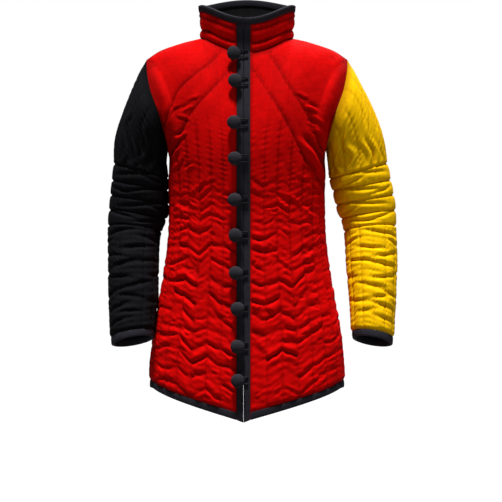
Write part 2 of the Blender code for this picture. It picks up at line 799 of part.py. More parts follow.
def sleeve(name, side, front, back, material):
    columns = 2 * SLEEVE_CHANNELS
    angles = [2 * math.pi * k / columns for k in range(columns)]
    first_ring = RINGS[0].height
    plan = sleeve_plan()
    rows, kinds = [], []
    for step in range(1, CAP_ROWS + 1):
        line = []
        for angle in angles:
            start = smooth_armhole(side, angle)
            end = ring_point(side, first_ring, angle)
            after = ring_point(side, first_ring - 0.02, angle)
            length = (end - start).length
            pull = leaving(side, angle) * length
            line.append(hermite(start, pull, end, (after - end).normalized() * length, step / CAP_ROWS))
        rows.append(line)
        kinds.append("upper")
    for height, kind in plan:
        rows.append([ring_point(side, height, angle) for angle in angles])
        kinds.append(kind)

    def core(j):
        middle = Vector((0.0, 0.0, 0.0))
        for point in rows[j]:
            middle += point
        return middle / len(rows[j])

    normals = outward_normals(rows, closed=True, away_from=core)
    heights = []
    for j, kind in enumerate(kinds):
        line = []
        for k in range(columns):
            channel = LINE_HEIGHT if k % 2 == 0 else SLEEVE_PAD
            from_seam = (rows[j][k] - smooth_armhole(side, angles[k])).length if kind == "upper" else 1.0
            squeeze = smooth(from_seam / SLEEVE_TAPER)
            height = {
                "upper": mixed(LINE_HEIGHT, channel, squeeze),
                "band line": LINE_HEIGHT,
                "band": SLEEVE_PAD,
                "forearm": channel,
                "crumple": mixed(channel, LINE_HEIGHT, CRUMPLE * (1 if (k // 2) % 2 else 0.2)),
                "edge": LINE_HEIGHT,
            }[kind]
            line.append(height)
        heights.append(line)
    outer = pushed(rows, normals, heights)
    inner = pushed(rows, normals, [[-LINING_DEPTH] * columns] * len(rows))
    loop = armhole_loop(front, back)
    seam = [point + across * SEAM_HALF for _, across, point in loop]
    shell = Shell()
    outside_edge = shell.add([p + mitre * LINE_HEIGHT for p, (mitre, _, _) in zip(seam, loop)])
    inside_edge = shell.add([p - mitre * LINING_DEPTH for p, (mitre, _, _) in zip(seam, loop)])
    outside = [shell.add(row) for row in outer]
    tape_row, last = len(rows) - 2, len(rows) - 1
    kept = list(range(0, CAP_ROWS, 2)) + list(range(CAP_ROWS, tape_row, 3)) + [tape_row, last]
    inside = [shell.add(inner[j]) for j in kept]
    shell.lace(outside_edge, outside[0], closed=True)
    shell.lace(inside_edge, inside[0], closed=True)
    on_back = range(len(front.sleeve_edge) - 1, len(loop)) if side > 0 else ()
    shell.cover([inside_edge, outside_edge], closed=True, cut_across=on_back)
    shell.cover(outside, closed=True)
    shell.cover(inside, closed=True)
    shell.cover([inside[-1], outside[-1]], closed=True)
    edge = (outer[-2], outer[-1], inner[-1], inner[-2])
    return edge, shell.make(name, material)


# Collar


def collar(right, left, back_right, back_left, material):
    """A standing band on the neck seam, from the right front edge round the back to the left one."""
    seam = list(right.collar_edge) + list(back_right.collar_edge[-2::-1])
    seam += list(back_left.collar_edge[1:]) + list(left.collar_edge[-2::-1])
    first_line, second_line = COLLAR_LINES
    count = len(seam)
    rows = []
    shares = [0.0, first_line / 2, first_line, (first_line + second_line) / 2, second_line, None, 1.0]
    for share in shares:
        line = []
        for mitre, across, point in seam:
            turn = math.atan2(point.x, -point.y)
            facing = math.cos(turn)
            tall = COLLAR_SIDE + (COLLAR_FRONT - COLLAR_SIDE) * max(0.0, facing) ** 1.5
            tall += (COLLAR_BACK - COLLAR_SIDE) * max(0.0, -facing) ** 1.5
            place = 1.0 - BINDING_WIDTH / tall if share is None else share
            out = Vector((point.x, point.y, 0.0)).normalized()
            lean = out * (COLLAR_FLARE * place**2 - COLLAR_WAIST * math.sin(math.pi * min(1.0, place * 1.6)))
            forward = Vector((0.0, -COLLAR_FORWARD * place, 0.0))
            line.append(point + lean + forward + Vector((0.0, 0.0, tall * place)))
        rows.append(line)
    normals = outward_normals(rows, away_from=lambda j: Vector((0.0, 0.0, rows[j][0].z)))
    normals[0] = [mitre for mitre, _, _ in seam]
    rows[0] = [point + across * SEAM_HALF for _, across, point in seam]
    last = len(rows) - 1
    heights = []
    for j in range(last + 1):
        height = COLLAR_PAD if j in (1, 3) else LINE_HEIGHT
        heights.append([LINE_HEIGHT if k in (0, 1, count - 2, count - 1) else height for k in range(count)])
    outer = pushed(rows, normals, heights)
    inner = pushed(rows, normals, [[-LINING_DEPTH] * count] * (last + 1))
    shell = Shell()
    kept = [0, 2, 4, last - 1, last]
    close_panel(shell, outer, inner, kept)
    return (outer, inner, kept), shell.make("collar", material)


# Bindings: a folded tape round an edge, made from the points of the cloth that it covers


def tape(name, stations, material, closed=False):
    """Sweeps the tape's section. A station is far and near points outside, then near and far inside."""
    rails = [[] for _ in range(8)]
    for far, near, inner_near, inner_far in stations:
        out = (near - far).normalized()
        through = near - inner_near
        through = (through - out * through.dot(out)).normalized()
        far = far.lerp(near, BINDING_SHY)
        inner_far = inner_far.lerp(inner_near, BINDING_SHY)
        for rail, corner in enumerate(
            (
                far + through * GAP,
                far + through * (GAP + BINDING_CLOTH),
                near + (through + out) * (GAP + BINDING_CLOTH),
                inner_near + (out - through) * (GAP + BINDING_CLOTH),
                inner_far - through * (GAP + BINDING_CLOTH),
                inner_far - through * GAP,
                inner_near + (out - through) * GAP,
                near + (through + out) * GAP,
            )
        ):
            rails[rail].append(corner)
    shell = Shell()
    rows = [shell.add(rail) for rail in rails]
    shell.cover(rows[:3], closed)
    shell.cover(rows[2:4], closed)
    shell.cover([rows[3], rows[4], rows[5]], closed)
    shell.cover([rows[6], rows[5]], closed)
    shell.cover([rows[7], rows[6]], closed)
    shell.cover([rows[7], rows[0]], closed)
    if not closed:
        for end in (0, -1):
            a, b, c, d, e, f, g, h = (row[end] for row in rows)
            for quad in ((a, b, c, h), (h, c, d, g), (g, d, e, f)):
                shell.faces.append((quad[0], quad[1], quad[2]))
                shell.faces.append((quad[0], quad[2], quad[3]))
    return shell.make(name, material)


def on_coarse(rows, kept, j, column):
    """A point of a column's inner edge, where only some of its rows are kept."""
    low = max(i for i in kept if i <= j)
    high = min(i for i in kept if i >= j)
    if low == high:
        return rows[j][column].copy()
    lengths = lengths_along([rows[i][column] for i in range(low, high + 1)])
    return rows[low][column].lerp(rows[high][column], lengths[j - low] / lengths[-1])


def edge_stations(outer, inner, kept, rows, edge, line):
    return [
        (outer[j][line], outer[j][edge], on_coarse(inner, kept, j, edge), on_coarse(inner, kept, j, line))
        for j in rows
    ]


def moved(station, shift):
    return tuple(point + shift for point in station)


def front_binding(name, half, collar_rows, edge, line, material):
    """Up the front edge and on up the collar's edge, to the collar's own binding."""
    stations = edge_stations(half.outer, half.inner, half.inner_rows, range(half.tops + 1), 0, 1)
    foot = (stations[0][0] - stations[1][0]).normalized() * (GAP + BINDING_CLOTH)
    stations[0] = moved(stations[0], foot)
    outer, inner, kept = collar_rows
    upper = edge_stations(outer, inner, kept, range(1, len(outer) - 1), edge, line)
    return tape(name, stations + upper, material)


def hem_binding(right, left, back_right, back_left, material):
    """Along the whole hem, from one front binding to the other."""

    def stations(half, first):
        return [
            (half.outer[1][k], half.outer[0][k], half.inner[0][k], half.inner[1][k])
            for k in range(first, len(half.outer[0]))
        ]

    def average(one, other):
        return tuple((a + b) / 2 for a, b in zip(one, other))

    right_front, left_front = stations(right, 1), stations(left, 1)
    right_back, left_back = stations(back_right, 0), stations(back_left, 0)
    path = right_front[:-1] + [average(right_front[-1], right_back[-1])]
    path += right_back[-2::-1] + left_back[1:-1]
    path += [average(left_back[-1], left_front[-1])] + left_front[-2::-1]
    return tape("hem_binding", path, material)


def collar_binding(collar_rows, material):
    outer, inner, _ = collar_rows
    stations = [
        (outer[-2][k], outer[-1][k], inner[-1][k], inner[-2][k])
        for k in range(len(outer[-1]))
    ]
    reach = GAP + BINDING_CLOTH
    stations[0] = moved(stations[0], (stations[0][0] - stations[1][0]).normalized() * reach)
    stations[-1] = moved(stations[-1], (stations[-1][0] - stations[-2][0]).normalized() * reach)
    return tape("collar_binding", stations, material)


# Buttons and loops


def cloth_front(trees, across, height):
    """The depth of the foremost cloth at a place seen from the front."""
    depths = []
    for tree in trees:
        hit = tree.ray_cast(Vector((across, -1.0, height)), Vector((0.0, 1.0, 0.0)))[0]
        if hit is not None:
            depths.append(hit.y)
    return min(depths) if depths else None


def foremost(trees, across, height, radius):
    places = [(0.0, 0.0)]
    places += [(math.cos(a), math.sin(a)) for a in (i * math.pi / 4 for i in range(8))]
    found = [cloth_front(trees, across + radius * x, height + radius * z) for x, z in places]
    return min(depth for depth in found if depth is not None)


def tree_of(piece):
    vertices = [v.co.copy() for v in piece.data.vertices]
    return BVHTree.FromPolygons(vertices, [tuple(p.vertices) for p in piece.data.polygons])


def button(name, place, trees, path, material):
    """A stuffed ball on a short neck, its neck against the cloth and its ball in front of the loop."""
    base = foremost(trees, place.across, place.height, BUTTON_PROFILE[0].radius)
    loop_front = min(point.y for point in path[2:-2]) - CORD_RADIUS
    lift = max(0.0, base - loop_front - BUTTON_PROFILE[1].rise)
    for ledge in BUTTON_PROFILE[2:4]:
        nearest = foremost(trees, place.across, place.height, ledge.radius)
        lift = max(lift, (base - nearest) + GAP + 0.0004 - ledge.rise)
    shell = Shell()
    rings = []
    for number, ledge in enumerate(BUTTON_PROFILE):
        depth = base - GAP - ledge.rise - (lift if number else 0.0)
        ring = []
        for step in range(BUTTON_SEGMENTS):
            angle = 2 * math.pi * step / BUTTON_SEGMENTS
            ring.append(
                Vector(
                    (
                        place.across + ledge.radius * math.cos(angle),
                        depth,
                        place.height + ledge.radius * math.sin(angle),
                    )
                )
            )
        rings.append(shell.add(ring))
    shell.cover(rings, closed=True)
    for ring in (rings[0], rings[-1]):
        for step in range(1, BUTTON_SEGMENTS - 1):
            shell.faces.append((ring[0], ring[step], ring[step + 1]))
    return shell.make(name, material)


def loop_path(place, trees):
    """From the left binding across the opening, round the button's neck and back."""
    right = OPENING_X + LOOP_RIGHT
    flat = [(right, LOOP_HALF), ((right + place.across) / 2, LOOP_HALF)]
    for step in range(5):
        angle = math.pi / 2 + math.pi * step / 4
        radius = LOOP_HALF if step in (0, 4) else LOOP_HALF * 0.93
        flat.append((place.across + radius * math.cos(angle), radius * math.sin(angle)))
    flat += [((right + place.across) / 2, -LOOP_HALF), (right, -LOOP_HALF)]
    spread = CORD_RADIUS * 1.3
    depths = [foremost(trees, x, place.height + z, spread) for x, z in flat]
    calm = [min(depths[max(0, i - 1) : i + 2]) for i in range(len(depths))]
    return [
        Vector((x, depth - GAP - CORD_RADIUS, place.height + z))
        for (x, z), depth in zip(flat, calm)
    ]


def cord_loop(name, path, material):
    shell = Shell()
    rings = []
    for i, point in enumerate(path):
        ahead = (path[min(len(path) - 1, i + 1)] - path[max(0, i - 1)]).normalized()
        front = Vector((0.0, -1.0, 0.0))
        front = (front - ahead * front.dot(ahead)).normalized()
        aside = ahead.cross(front)
        ring = []
        for step in range(4):
            angle = math.pi / 4 + math.pi * step / 2
            ring.append(point + (front * math.cos(angle) + aside * math.sin(angle)) * CORD_RADIUS)
        rings.append(shell.add(ring))
    shell.cover(rings, closed=True)
    for ring in (rings[0], rings[-1]):
        shell.faces.append((ring[0], ring[1], ring[2]))
        shell.faces.append((ring[0], ring[2], ring[3]))
    return shell.make(name, material)


def build():
    clear_scene()
    red = cloth_material("red quilted cloth", RED)
    black = cloth_material("black quilted cloth", BLACK)
    yellow = cloth_material("yellow quilted cloth", YELLOW)
    tape_cloth = cloth_material("black twill tape", TAPE)
    button_cloth = cloth_material("black button cloth", TAPE)
    right, right_piece = front_panel("front_right", -1, red)
    left, left_piece = front_panel("front_left", 1, red)
    back_right, back_left, _ = back_panel(red)
    collar_rows, collar_piece = collar(right, left, back_right, back_left, red)
    right_cuff, _ = sleeve("sleeve_right", -1, right, back_right, black)
    left_cuff, _ = sleeve("sleeve_left", 1, left, back_left, yellow)
    right_tape = front_binding("front_binding_right", right, collar_rows, 0, 1, tape_cloth)
    left_tape = front_binding("front_binding_left", left, collar_rows, -1, -2, tape_cloth)
    hem_binding(right, left, back_right, back_left, tape_cloth)
    collar_binding(collar_rows, tape_cloth)
    tape("cuff_binding_right", list(zip(*right_cuff)), tape_cloth, closed=True)
    tape("cuff_binding_left", list(zip(*left_cuff)), tape_cloth, closed=True)
    trees = [tree_of(piece) for piece in (right_piece, left_piece, collar_piece, right_tape, left_tape)]
    for number, place in enumerate(BUTTONS, start=1):
        path = loop_path(place, trees)
        button(f"button_{number:02d}", place, trees, path, button_cloth)
        cord_loop(f"loop_{number:02d}", path, button_cloth)


build()
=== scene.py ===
import math

import bmesh
import bpy
import numpy as np
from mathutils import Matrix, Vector
from mathutils.bvhtree import BVHTree


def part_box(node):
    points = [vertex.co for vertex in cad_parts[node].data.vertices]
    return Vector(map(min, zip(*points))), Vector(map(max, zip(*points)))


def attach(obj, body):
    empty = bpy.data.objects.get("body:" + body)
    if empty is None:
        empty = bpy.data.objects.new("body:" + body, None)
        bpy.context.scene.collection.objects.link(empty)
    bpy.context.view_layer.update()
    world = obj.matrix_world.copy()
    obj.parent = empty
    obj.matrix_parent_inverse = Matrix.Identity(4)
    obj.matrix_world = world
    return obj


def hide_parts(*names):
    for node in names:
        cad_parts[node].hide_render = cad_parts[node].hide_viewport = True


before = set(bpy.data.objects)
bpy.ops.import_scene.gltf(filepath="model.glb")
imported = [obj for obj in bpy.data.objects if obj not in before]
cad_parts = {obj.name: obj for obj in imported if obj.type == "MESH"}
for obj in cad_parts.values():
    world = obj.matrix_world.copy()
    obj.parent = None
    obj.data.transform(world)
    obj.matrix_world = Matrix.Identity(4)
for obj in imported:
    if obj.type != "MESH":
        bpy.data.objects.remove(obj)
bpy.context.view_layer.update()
print("frame loaded")

# All lengths are metres. The wearer faces -Y, and the wearer's right side is at -X.


# Numbers and curves

def smooth(share):
    share = np.clip(share, 0.0, 1.0)
    return share * share * (3.0 - 2.0 * share)


def mix(first, second, share):
    return first + (second - first) * share


def bell(distance, width):
    return np.exp(-((distance / width) ** 2))


def unit(vectors):
    return vectors / np.maximum(np.linalg.norm(vectors, axis=-1, keepdims=True), 1e-12)


def hermite(start, startPull, end, endPull, t):
    near = (2 * t**3 - 3 * t**2 + 1) * start + (3 * t**2 - 2 * t**3) * end
    return near + (t**3 - 2 * t**2 + t) * startPull + (t**3 - t**2) * endPull


def onCurve(table, column, place, key="height"):  # a smooth curve through a table's rows
    keys, values = np.array(table[key]), np.array(table[column])
    place = np.clip(place, keys[0], keys[-1])
    span = np.clip(np.searchsorted(keys, place, side="right") - 1, 0, len(keys) - 2)
    steps = np.arange(len(keys))
    low, high = np.maximum(steps - 1, 0), np.minimum(steps + 1, len(keys) - 1)
    slope = (values[high] - values[low]) / (keys[high] - keys[low])
    width = keys[span + 1] - keys[span]
    t = (place - keys[span]) / width
    return hermite(values[span], slope[span] * width, values[span + 1], slope[span + 1] * width, t)


def runOn(grid, axis=0):  # length along the rows or the columns of a grid of points
    steps = np.diff(grid, axis=axis, prepend=grid.take([0], axis))
    return np.cumsum(np.linalg.norm(steps, axis=2), axis=axis)


def lengthsOf(line):
    return np.concatenate([[0.0], np.cumsum(np.linalg.norm(np.diff(line, axis=0), axis=1))])


def between(places, knots, vectors):
    return np.stack([np.interp(places, knots, vectors[:, axis]) for axis in range(3)], -1)


def alongLine(line, distances):
    return between(distances, lengthsOf(line), line)


def spline(points, steps=24):
    points = np.array(points)
    fine = []
    for i in range(len(points) - 1):
        before, after = points[max(0, i - 1)], points[min(len(points) - 1, i + 2)]
        startPull = (points[i + 1] - before) / (2 if i else 1)
        endPull = (after - points[i]) / (2 if i < len(points) - 2 else 1)
        fine += [hermite(points[i], startPull, points[i + 1], endPull, s / steps) for s in range(steps)]
    return np.array(fine + [points[-1]])


def evenly(line, shares):
    return alongLine(line, np.clip(shares, 0.0, 1.0) * lengthsOf(line)[-1])


def waves(place, seed, period, count=4):  # a calm random curve, the same on each run
    draw = np.random.default_rng(seed)
    total = 0.0
    for _ in range(count):
        total = total + np.sin(2 * np.pi * place / (period * draw.uniform(0.6, 1.7)) + draw.uniform(0, 6.28))
    return total / count


# Colours and materials

def srgb(text):  # hex as a picture editor gives it, turned linear
    parts = [int(text[i:i + 2], 16) / 255 for i in (0, 2, 4)]
    return [p / 12.92 if p <= 0.04045 else ((p + 0.055) / 1.055) ** 2.4 for p in parts] + [1.0]


def addNode(tree, kind, inputs=None, **settings):
    node = tree.nodes.new("ShaderNode" + kind)
    for name, value in settings.items():
        setattr(node, name, value)
    for socket, value in (inputs or {}).items():
        if isinstance(value, bpy.types.NodeSocket):
            tree.links.new(value, node.inputs[socket])
        else:
            node.inputs[socket].default_value = value
    return node


clothLook = {
    # single fibres, uneven threads and patches of the dye: scale, detail and roughness of the noise
    "noises": ((700.0, 3.0, 0.6), (95.0, 4.0, 0.65), (9.0, 3.0, 0.55)),
    "fluff": 0.5, "threadHeight": 0.5, "bump": 0.55,
    "mottle": (0.5, 1.25),  # shade where the dye is thin and where it is full
    "threadShade": 0.10, "grooveShade": 0.6, "roughSpread": 0.06,
    "ior": 1.47, "specular": 0.06, "sheenRoughness": 0.6,
}


def wovenCloth(name, light, dark, thread, weave, roughness, sheen, relief=0.00022):
    # thread: metres between threads as drawn, weave: "plain" or "twill"
    material = bpy.data.materials.new(name)
    material.use_nodes = True
    tree = material.node_tree
    shader = tree.nodes["Principled BSDF"]

    def maths(operation, *values, **settings):
        return addNode(tree, "Math", dict(enumerate(values)), operation=operation, **settings).outputs[0]

    def noise(scale, detail, rough):
        inputs = {"Vector": where, "Scale": scale, "Detail": detail, "Roughness": rough}
        return addNode(tree, "TexNoise", inputs).outputs[0]

    uv = addNode(tree, "UVMap", uv_map="cloth").outputs["UV"]
    where = addNode(tree, "TexCoord").outputs["Object"]
    parts = addNode(tree, "SeparateXYZ", {0: uv})
    across, along = [maths("MULTIPLY", part, 2 * math.pi / thread) for part in parts.outputs[:2]]
    if weave == "twill":  # fine slanting ribs
        threads = maths("SINE", maths("ADD", across, along))
    else:  # threads over and under by turns
        threads = maths("MULTIPLY", maths("SINE", across), maths("SINE", along))
    fibres, slubs, clouds = [noise(*numbers) for numbers in clothLook["noises"]]
    fluffy = maths("MULTIPLY", fibres, clothLook["fluff"])
    height = maths("MULTIPLY_ADD", threads, clothLook["threadHeight"], fluffy)
    bump = addNode(tree, "Bump", {"Height": height, "Strength": clothLook["bump"], "Distance": relief})
    mottled, (thin, full) = maths("ADD", slubs, clouds), clothLook["mottle"]
    shade = addNode(tree, "MapRange", {0: mottled, 1: 0.3, 2: 1.7, 3: thin, 4: full}).outputs[0]
    weaveShade = maths("MULTIPLY_ADD", threads, clothLook["threadShade"], shade)
    # Painted shade: the groove attribute darkens the colour where the cloth is drawn down into seams and
    # creases
    depth = addNode(tree, "Attribute", attribute_name="groove").outputs["Fac"]
    toned = maths("MULTIPLY_ADD", depth, -clothLook["grooveShade"], weaveShade, use_clamp=True)
    colour = addNode(tree, "Mix", {"Factor": toned, 6: srgb(dark), 7: srgb(light)}, data_type="RGBA")
    tree.links.new(colour.outputs[2], shader.inputs["Base Color"])
    spread = clothLook["roughSpread"]
    rough = addNode(tree, "MapRange", {0: fibres, 3: roughness - spread, 4: roughness + spread})
    tree.links.new(rough.outputs[0], shader.inputs["Roughness"])
    tree.links.new(bump.outputs[0], shader.inputs["Normal"])
    finish = {
        "Metallic": 0.0, "IOR": clothLook["ior"], "Specular IOR Level": clothLook["specular"],
        "Sheen Weight": sheen, "Sheen Roughness": clothLook["sheenRoughness"], "Sheen Tint": srgb(light),
    }
    for socket, value in finish.items():
        shader.inputs[socket].default_value = value
    return material


# Real cotton sheeting has 2 to 3 threads a millimetre. They are drawn 1.1 mm apart to show in the render
# Dyed plain-weave cotton, red: dull, with no gloss, even in tone, with painted shade where it is drawn down
# to a seam
redCotton = wovenCloth("red woven cotton", "dc0000", "680000", 0.0011, "plain", 0.86, 0.04)
# The same cotton dyed black: takes nearly all the light, its fluff greys it a little where it turns away
blackCotton = wovenCloth("black woven cotton", "131316", "060607", 0.0011, "plain", 0.84, 0.15)
# The same dyed a warm yellow: the brightest of the cloths, its shadows go to ochre
yellowCotton = wovenCloth("yellow woven cotton", "ffc800", "b47800", 0.0011, "plain", 0.86, 0.06)
# Cotton lining, dark, plain weave, a little coarser: flat and soft, no highlights inside the openings
liningCotton = wovenCloth("dark cotton lining", "242224", "121113", 0.0012, "plain", 0.9, 0.10)
# Folded cotton twill, 0.7 mm ribs drawn 1.4 mm apart: charcoal with a soft bluish light along the fold
twillTape = wovenCloth("black twill tape", "2e2d34", "17171a", 0.0014, "twill", 0.8, 0.25, 0.0003)
# Twill gathered over a ball of stuffing: as the tape, lighter where the ball faces the light
buttonCloth = wovenCloth("black twill over stuffing", "323137", "151518", 0.0012, "twill", 0.8, 0.25, 0.0003)
# Two strands of cotton twisted: matt, nearly black, its lay shows as small slanting ridges
cottonCord = wovenCloth("black twisted cotton cord", "242428", "0e0e10", 0.0010, "twill", 0.82, 0.2)
# Polished sewing thread, 0.3 mm: a shade smoother than the cloth, so each stitch catches a speck of light
blackThread = wovenCloth("black sewing thread", "3c3d42", "1b1c1f", 0.0006, "twill", 0.6, 0.1)
redThread = wovenCloth("red sewing thread", "b80000", "640000", 0.0006, "twill", 0.6, 0.1)
yellowThread = wovenCloth("yellow sewing thread", "c88c00", "7a5000", 0.0006, "twill", 0.6, 0.1)
# A quilted piece's outer cloth, inside and stitches, in this order
redCloth = [redCotton, liningCotton, redThread]
blackCloth = [blackCotton, liningCotton, blackThread]
yellowCloth = [yellowCotton, liningCotton, yellowThread]
print("materials made")


# Meshes from grids of points

def patch(points, closed=False):  # quads of a grid, with the cloth's own length and width as UV
    rows, cols = points.shape[:2]
    around = np.concatenate([points, points[:, :1]], 1) if closed else points
    uv = np.stack([runOn(around, 1), runOn(around)], -1)
    spots = np.arange(rows)[:, None] * cols + (np.arange(around.shape[1]) % cols)[None, :]

    def corners(grid):
        return np.stack([grid[:-1, :-1], grid[:-1, 1:], grid[1:, 1:], grid[1:, :-1]], 2)

    return corners(spots).reshape(-1, 4).tolist(), corners(uv).reshape(-1, 4, 2).tolist()


def addObject(name, data):
    item = bpy.data.objects.new(name, data)
    bpy.context.collection.objects.link(item)
    return item


class Piece:  # collects points and faces, then makes one object, which stands for a node
    def __init__(self, name):
        self.name, self.points, self.faces, self.uvs = name, [], [], []
        self.slots, self.grooves, self.count = [], [], 0

    def add(self, points, groove=0.5):
        flat = np.asarray(points).reshape(-1, 3)
        self.points.append(flat)
        self.grooves.append(np.broadcast_to(groove, np.asarray(points).shape[:-1]).reshape(-1))
        start = self.count
        self.count += len(flat)
        return start

    def cover(self, faces, uvs=None, slot=0, start=0):
        self.faces += [[start + i for i in face] for face in faces]
        self.uvs += uvs if uvs is not None else [[(0.0, 0.0)] * len(face) for face in faces]
        self.slots += [slot] * len(faces)

    def grid(self, points, groove=0.5, slot=0, closed=False):
        start = self.add(points, groove)
        faces, uvs = patch(np.asarray(points), closed)
        self.cover(faces, uvs, slot, start)
        rows, cols = points.shape[:2]
        return start + np.arange(rows * cols).reshape(rows, cols)

    def rim(self, fine, coarse):  # joins an edge to one with half as many steps
        faces = []
        for i in range(len(coarse) - 1):
            a, b, c = fine[2 * i:2 * i + 3]
            faces += [[a, b, coarse[i]], [b, coarse[i + 1], coarse[i]], [b, c, coarse[i + 1]]]
        self.cover([[int(i) for i in face] for face in faces])

    def tube(self, rings):  # with flat ends
        ids = self.grid(rings, 0.1, closed=True)
        self.cover([ids[0].tolist(), ids[-1].tolist()])

    def make(self, materials, node, sharp=50):
        mesh = bpy.data.meshes.new(self.name)
        mesh.from_pydata(np.concatenate(self.points).tolist(), [], self.faces)
        for material in materials:
            mesh.materials.append(material)
        mesh.polygons.foreach_set("material_index", self.slots)
        layer = mesh.uv_layers.new(name="cloth")
        layer.data.foreach_set("uv", [c for face in self.uvs for corner in face for c in corner])
        # The groove share, which the cloth materials turn into painted shade
        groove = mesh.attributes.new("groove", "FLOAT", "POINT")
        groove.data.foreach_set("value", np.concatenate(self.grooves).astype(float))
        work = bmesh.new()
        work.from_mesh(mesh)
        bmesh.ops.recalc_face_normals(work, faces=work.faces)
        work.to_mesh(mesh)
        work.free()
        mesh.shade_smooth()
        mesh.set_sharp_from_angle(angle=math.radians(sharp))
        item = addObject(self.name, mesh)
        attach(item, "root")
        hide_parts(node)
        return item


def wall(piece, outer, inner, grooves, closed=False):  # outer cloth, plain inside and the rims
    outside = piece.grid(outer, grooves, 0, closed)
    # The inside takes a groove share of 0.6 all over, which darkens the lining's colour evenly
    inside = piece.grid(inner[::2, ::2], 0.6, 1, closed)
    if closed:
        outside = np.concatenate([outside, outside[:, :1]], 1)
        inside = np.concatenate([inside, inside[:, :1]], 1)
    for row in (0, -1):
        piece.rim(outside[row], inside[row])
    if not closed:
        for col in (0, -1):
            piece.rim(outside[:, col], inside[:, col])


# How much painted shade darkens the cloth's colour: its share of the way down into a groove
def grooveOf(height, pad):  # 1 where the cloth is drawn down to a seam, 0 on top of a pad
    return np.clip(1.0 - (height - cloth["line"]) / (pad - cloth["line"]), 0, 1) ** 1.5


def normalsOf(grid, within, closed=False, calm=0):  # unit normals pointing away from the inner points
    if closed:
        along = np.roll(grid, -1, 1) - np.roll(grid, 1, 1)
    else:
        along = np.gradient(grid, axis=1)
    normals = unit(np.cross(along, np.gradient(grid, axis=0)))
    away = np.sum(normals * (grid - within), -1, keepdims=True)
    normals = np.where(away < 0, -normals, normals)
    for _ in range(calm):
        mode = "wrap" if closed else "edge"
        wide = np.pad(normals, ((1, 1), (0, 0), (0, 0)), mode="edge")
        wide = np.pad(wide, ((0, 0), (1, 1), (0, 0)), mode=mode)
        normals = unit(normals * 2 + wide[2:, 1:-1] + wide[:-2, 1:-1] + wide[1:-1, 2:] + wide[1:-1, :-2])
    return normals


# The quilted body: rows go round it, columns go up from the hem; two columns make a channel

cloth = {
    "seamHalf": 0.00002,  # a panel's distance from the middle of its seam
    "lining": 0.0022,  # from the shaped surface in to the lining
    "line": 0.0016,  # out to the cloth on a quilting line or an edge
    "lowest": 0.0006,  # how far below that a dent may go
    "relief": 0.0047,  # where the pads start beside a quilting line
    "stitched": 0.0039,  # the stitch line itself
    "stepsPerColumn": 6,
    "lowerRows": 201,
    "upperRows": 108,
}
tapeSize = {"width": 0.0125, "thickness": 0.0012, "gap": 0.00035, "shy": 0.05,
            "ripple": 0.18,  # how unevenly it lies, as a share of its thickness
            "fold": 0.00046,  # how much fuller it is along its fold
            "cut": 0.028}  # its width before it was folded
opening = {"x": -0.0070, "half": 0.0021}
body = {
    "channels": 8,
    "neck": {"front": 6, "back": 5},  # columns, as the next two
    "shoulder": 4,
    "armhole": 7,
    "hem": -0.747,
    "chest": -0.268,
    "belowChest": 0.0248,  # down to the row that gives the cloth's way up at the chest
    "drop": {"front": 0.062, "back": 0.012},
    "dropStarts": -0.42,
    "dropReach": 0.82,
    "dropPower": 1.1,
    "places": (-0.83, -0.24, 237),  # heights at which the sections are worked out
    "pad": 0.0068,
    "padSwing": 0.10,
    "firstPad": 0.0036,
    "chestPad": 0.0052,
    "channelWidth": 0.024,
    "stitchHalf": 0.0014,
    "armholeTaper": 0.085,
    "neckTaper": 0.025,
    "channelsEnd": -0.165,
    "unevenness": 0.0012,
}
stitches = {  # the slot is the thread's place in the piece's list of materials
    "quilting": {"pitch": 0.0042, "length": 0.0026, "radius": 0.00035, "lift": 0.0001, "slot": 2},
    "tape": {"pitch": 0.0036, "length": 0.0022, "radius": 0.0003, "lift": 0.0001, "slot": 1},
}
sections = {
    "height": (-0.747, -0.673, -0.615, -0.542, -0.449, -0.368, -0.290, -0.245),
    "halfWidth": (0.2060, 0.2000, 0.1930, 0.1790, 0.1650, 0.1610, 0.1630, 0.1650),
    "front": (0.139, 0.133, 0.129, 0.125, 0.120, 0.118, 0.124, 0.128),
    "back": (0.150, 0.149, 0.144, 0.130, 0.113, 0.107, 0.115, 0.123),
    "squareness": (2.25, 2.30, 2.30, 2.30, 2.30, 2.35, 2.40, 2.45),
}
neckline = {"halfWidth": 0.0965, "front": 0.0860, "back": 0.0820, "dip": 0.0400, "power": 2.8,
            "rise": 0.0090, "sideHeight": -0.0030}
shoulderSeam = [(0.0965, 0.0, -0.0030), (0.1400, 0.0, -0.0130), (0.1850, 0.0, -0.0285),
                (0.2150, 0.0, -0.0480)]
armholes = {
    "front": [(0.2150, 0.000, -0.0480), (0.2120, 0.036, -0.0780), (0.2030, 0.060, -0.1200),
              (0.1865, 0.068, -0.1650), (0.1730, 0.050, -0.2120), (0.1650, 0.000, -0.2360)],
    "back": [(0.2150, 0.000, -0.0480), (0.2120, 0.038, -0.0740), (0.2040, 0.064, -0.1150),
             (0.1870, 0.073, -0.1650), (0.1735, 0.054, -0.2120), (0.1650, 0.000, -0.2360)],
}
# How the cloth arrives at its top edge: outward, back, up, and how strongly it holds that
leans = {
    "front": [(0.0, 0.32, 0.95, 0.9), (0.0, 0.97, 0.16, 1.2), (0.45, 0.85, 0.10, 0.9),
              (0.50, 0.20, 0.85, 0.9), (0.0, 0.0, 1.0, 0.8)],
    "back": [(0.0, 0.42, 0.90, 0.9), (0.0, 0.97, 0.16, 1.2), (0.45, 0.85, 0.10, 0.9),
             (0.50, 0.20, 0.85, 0.9), (0.0, 0.0, 1.0, 0.8)],
}
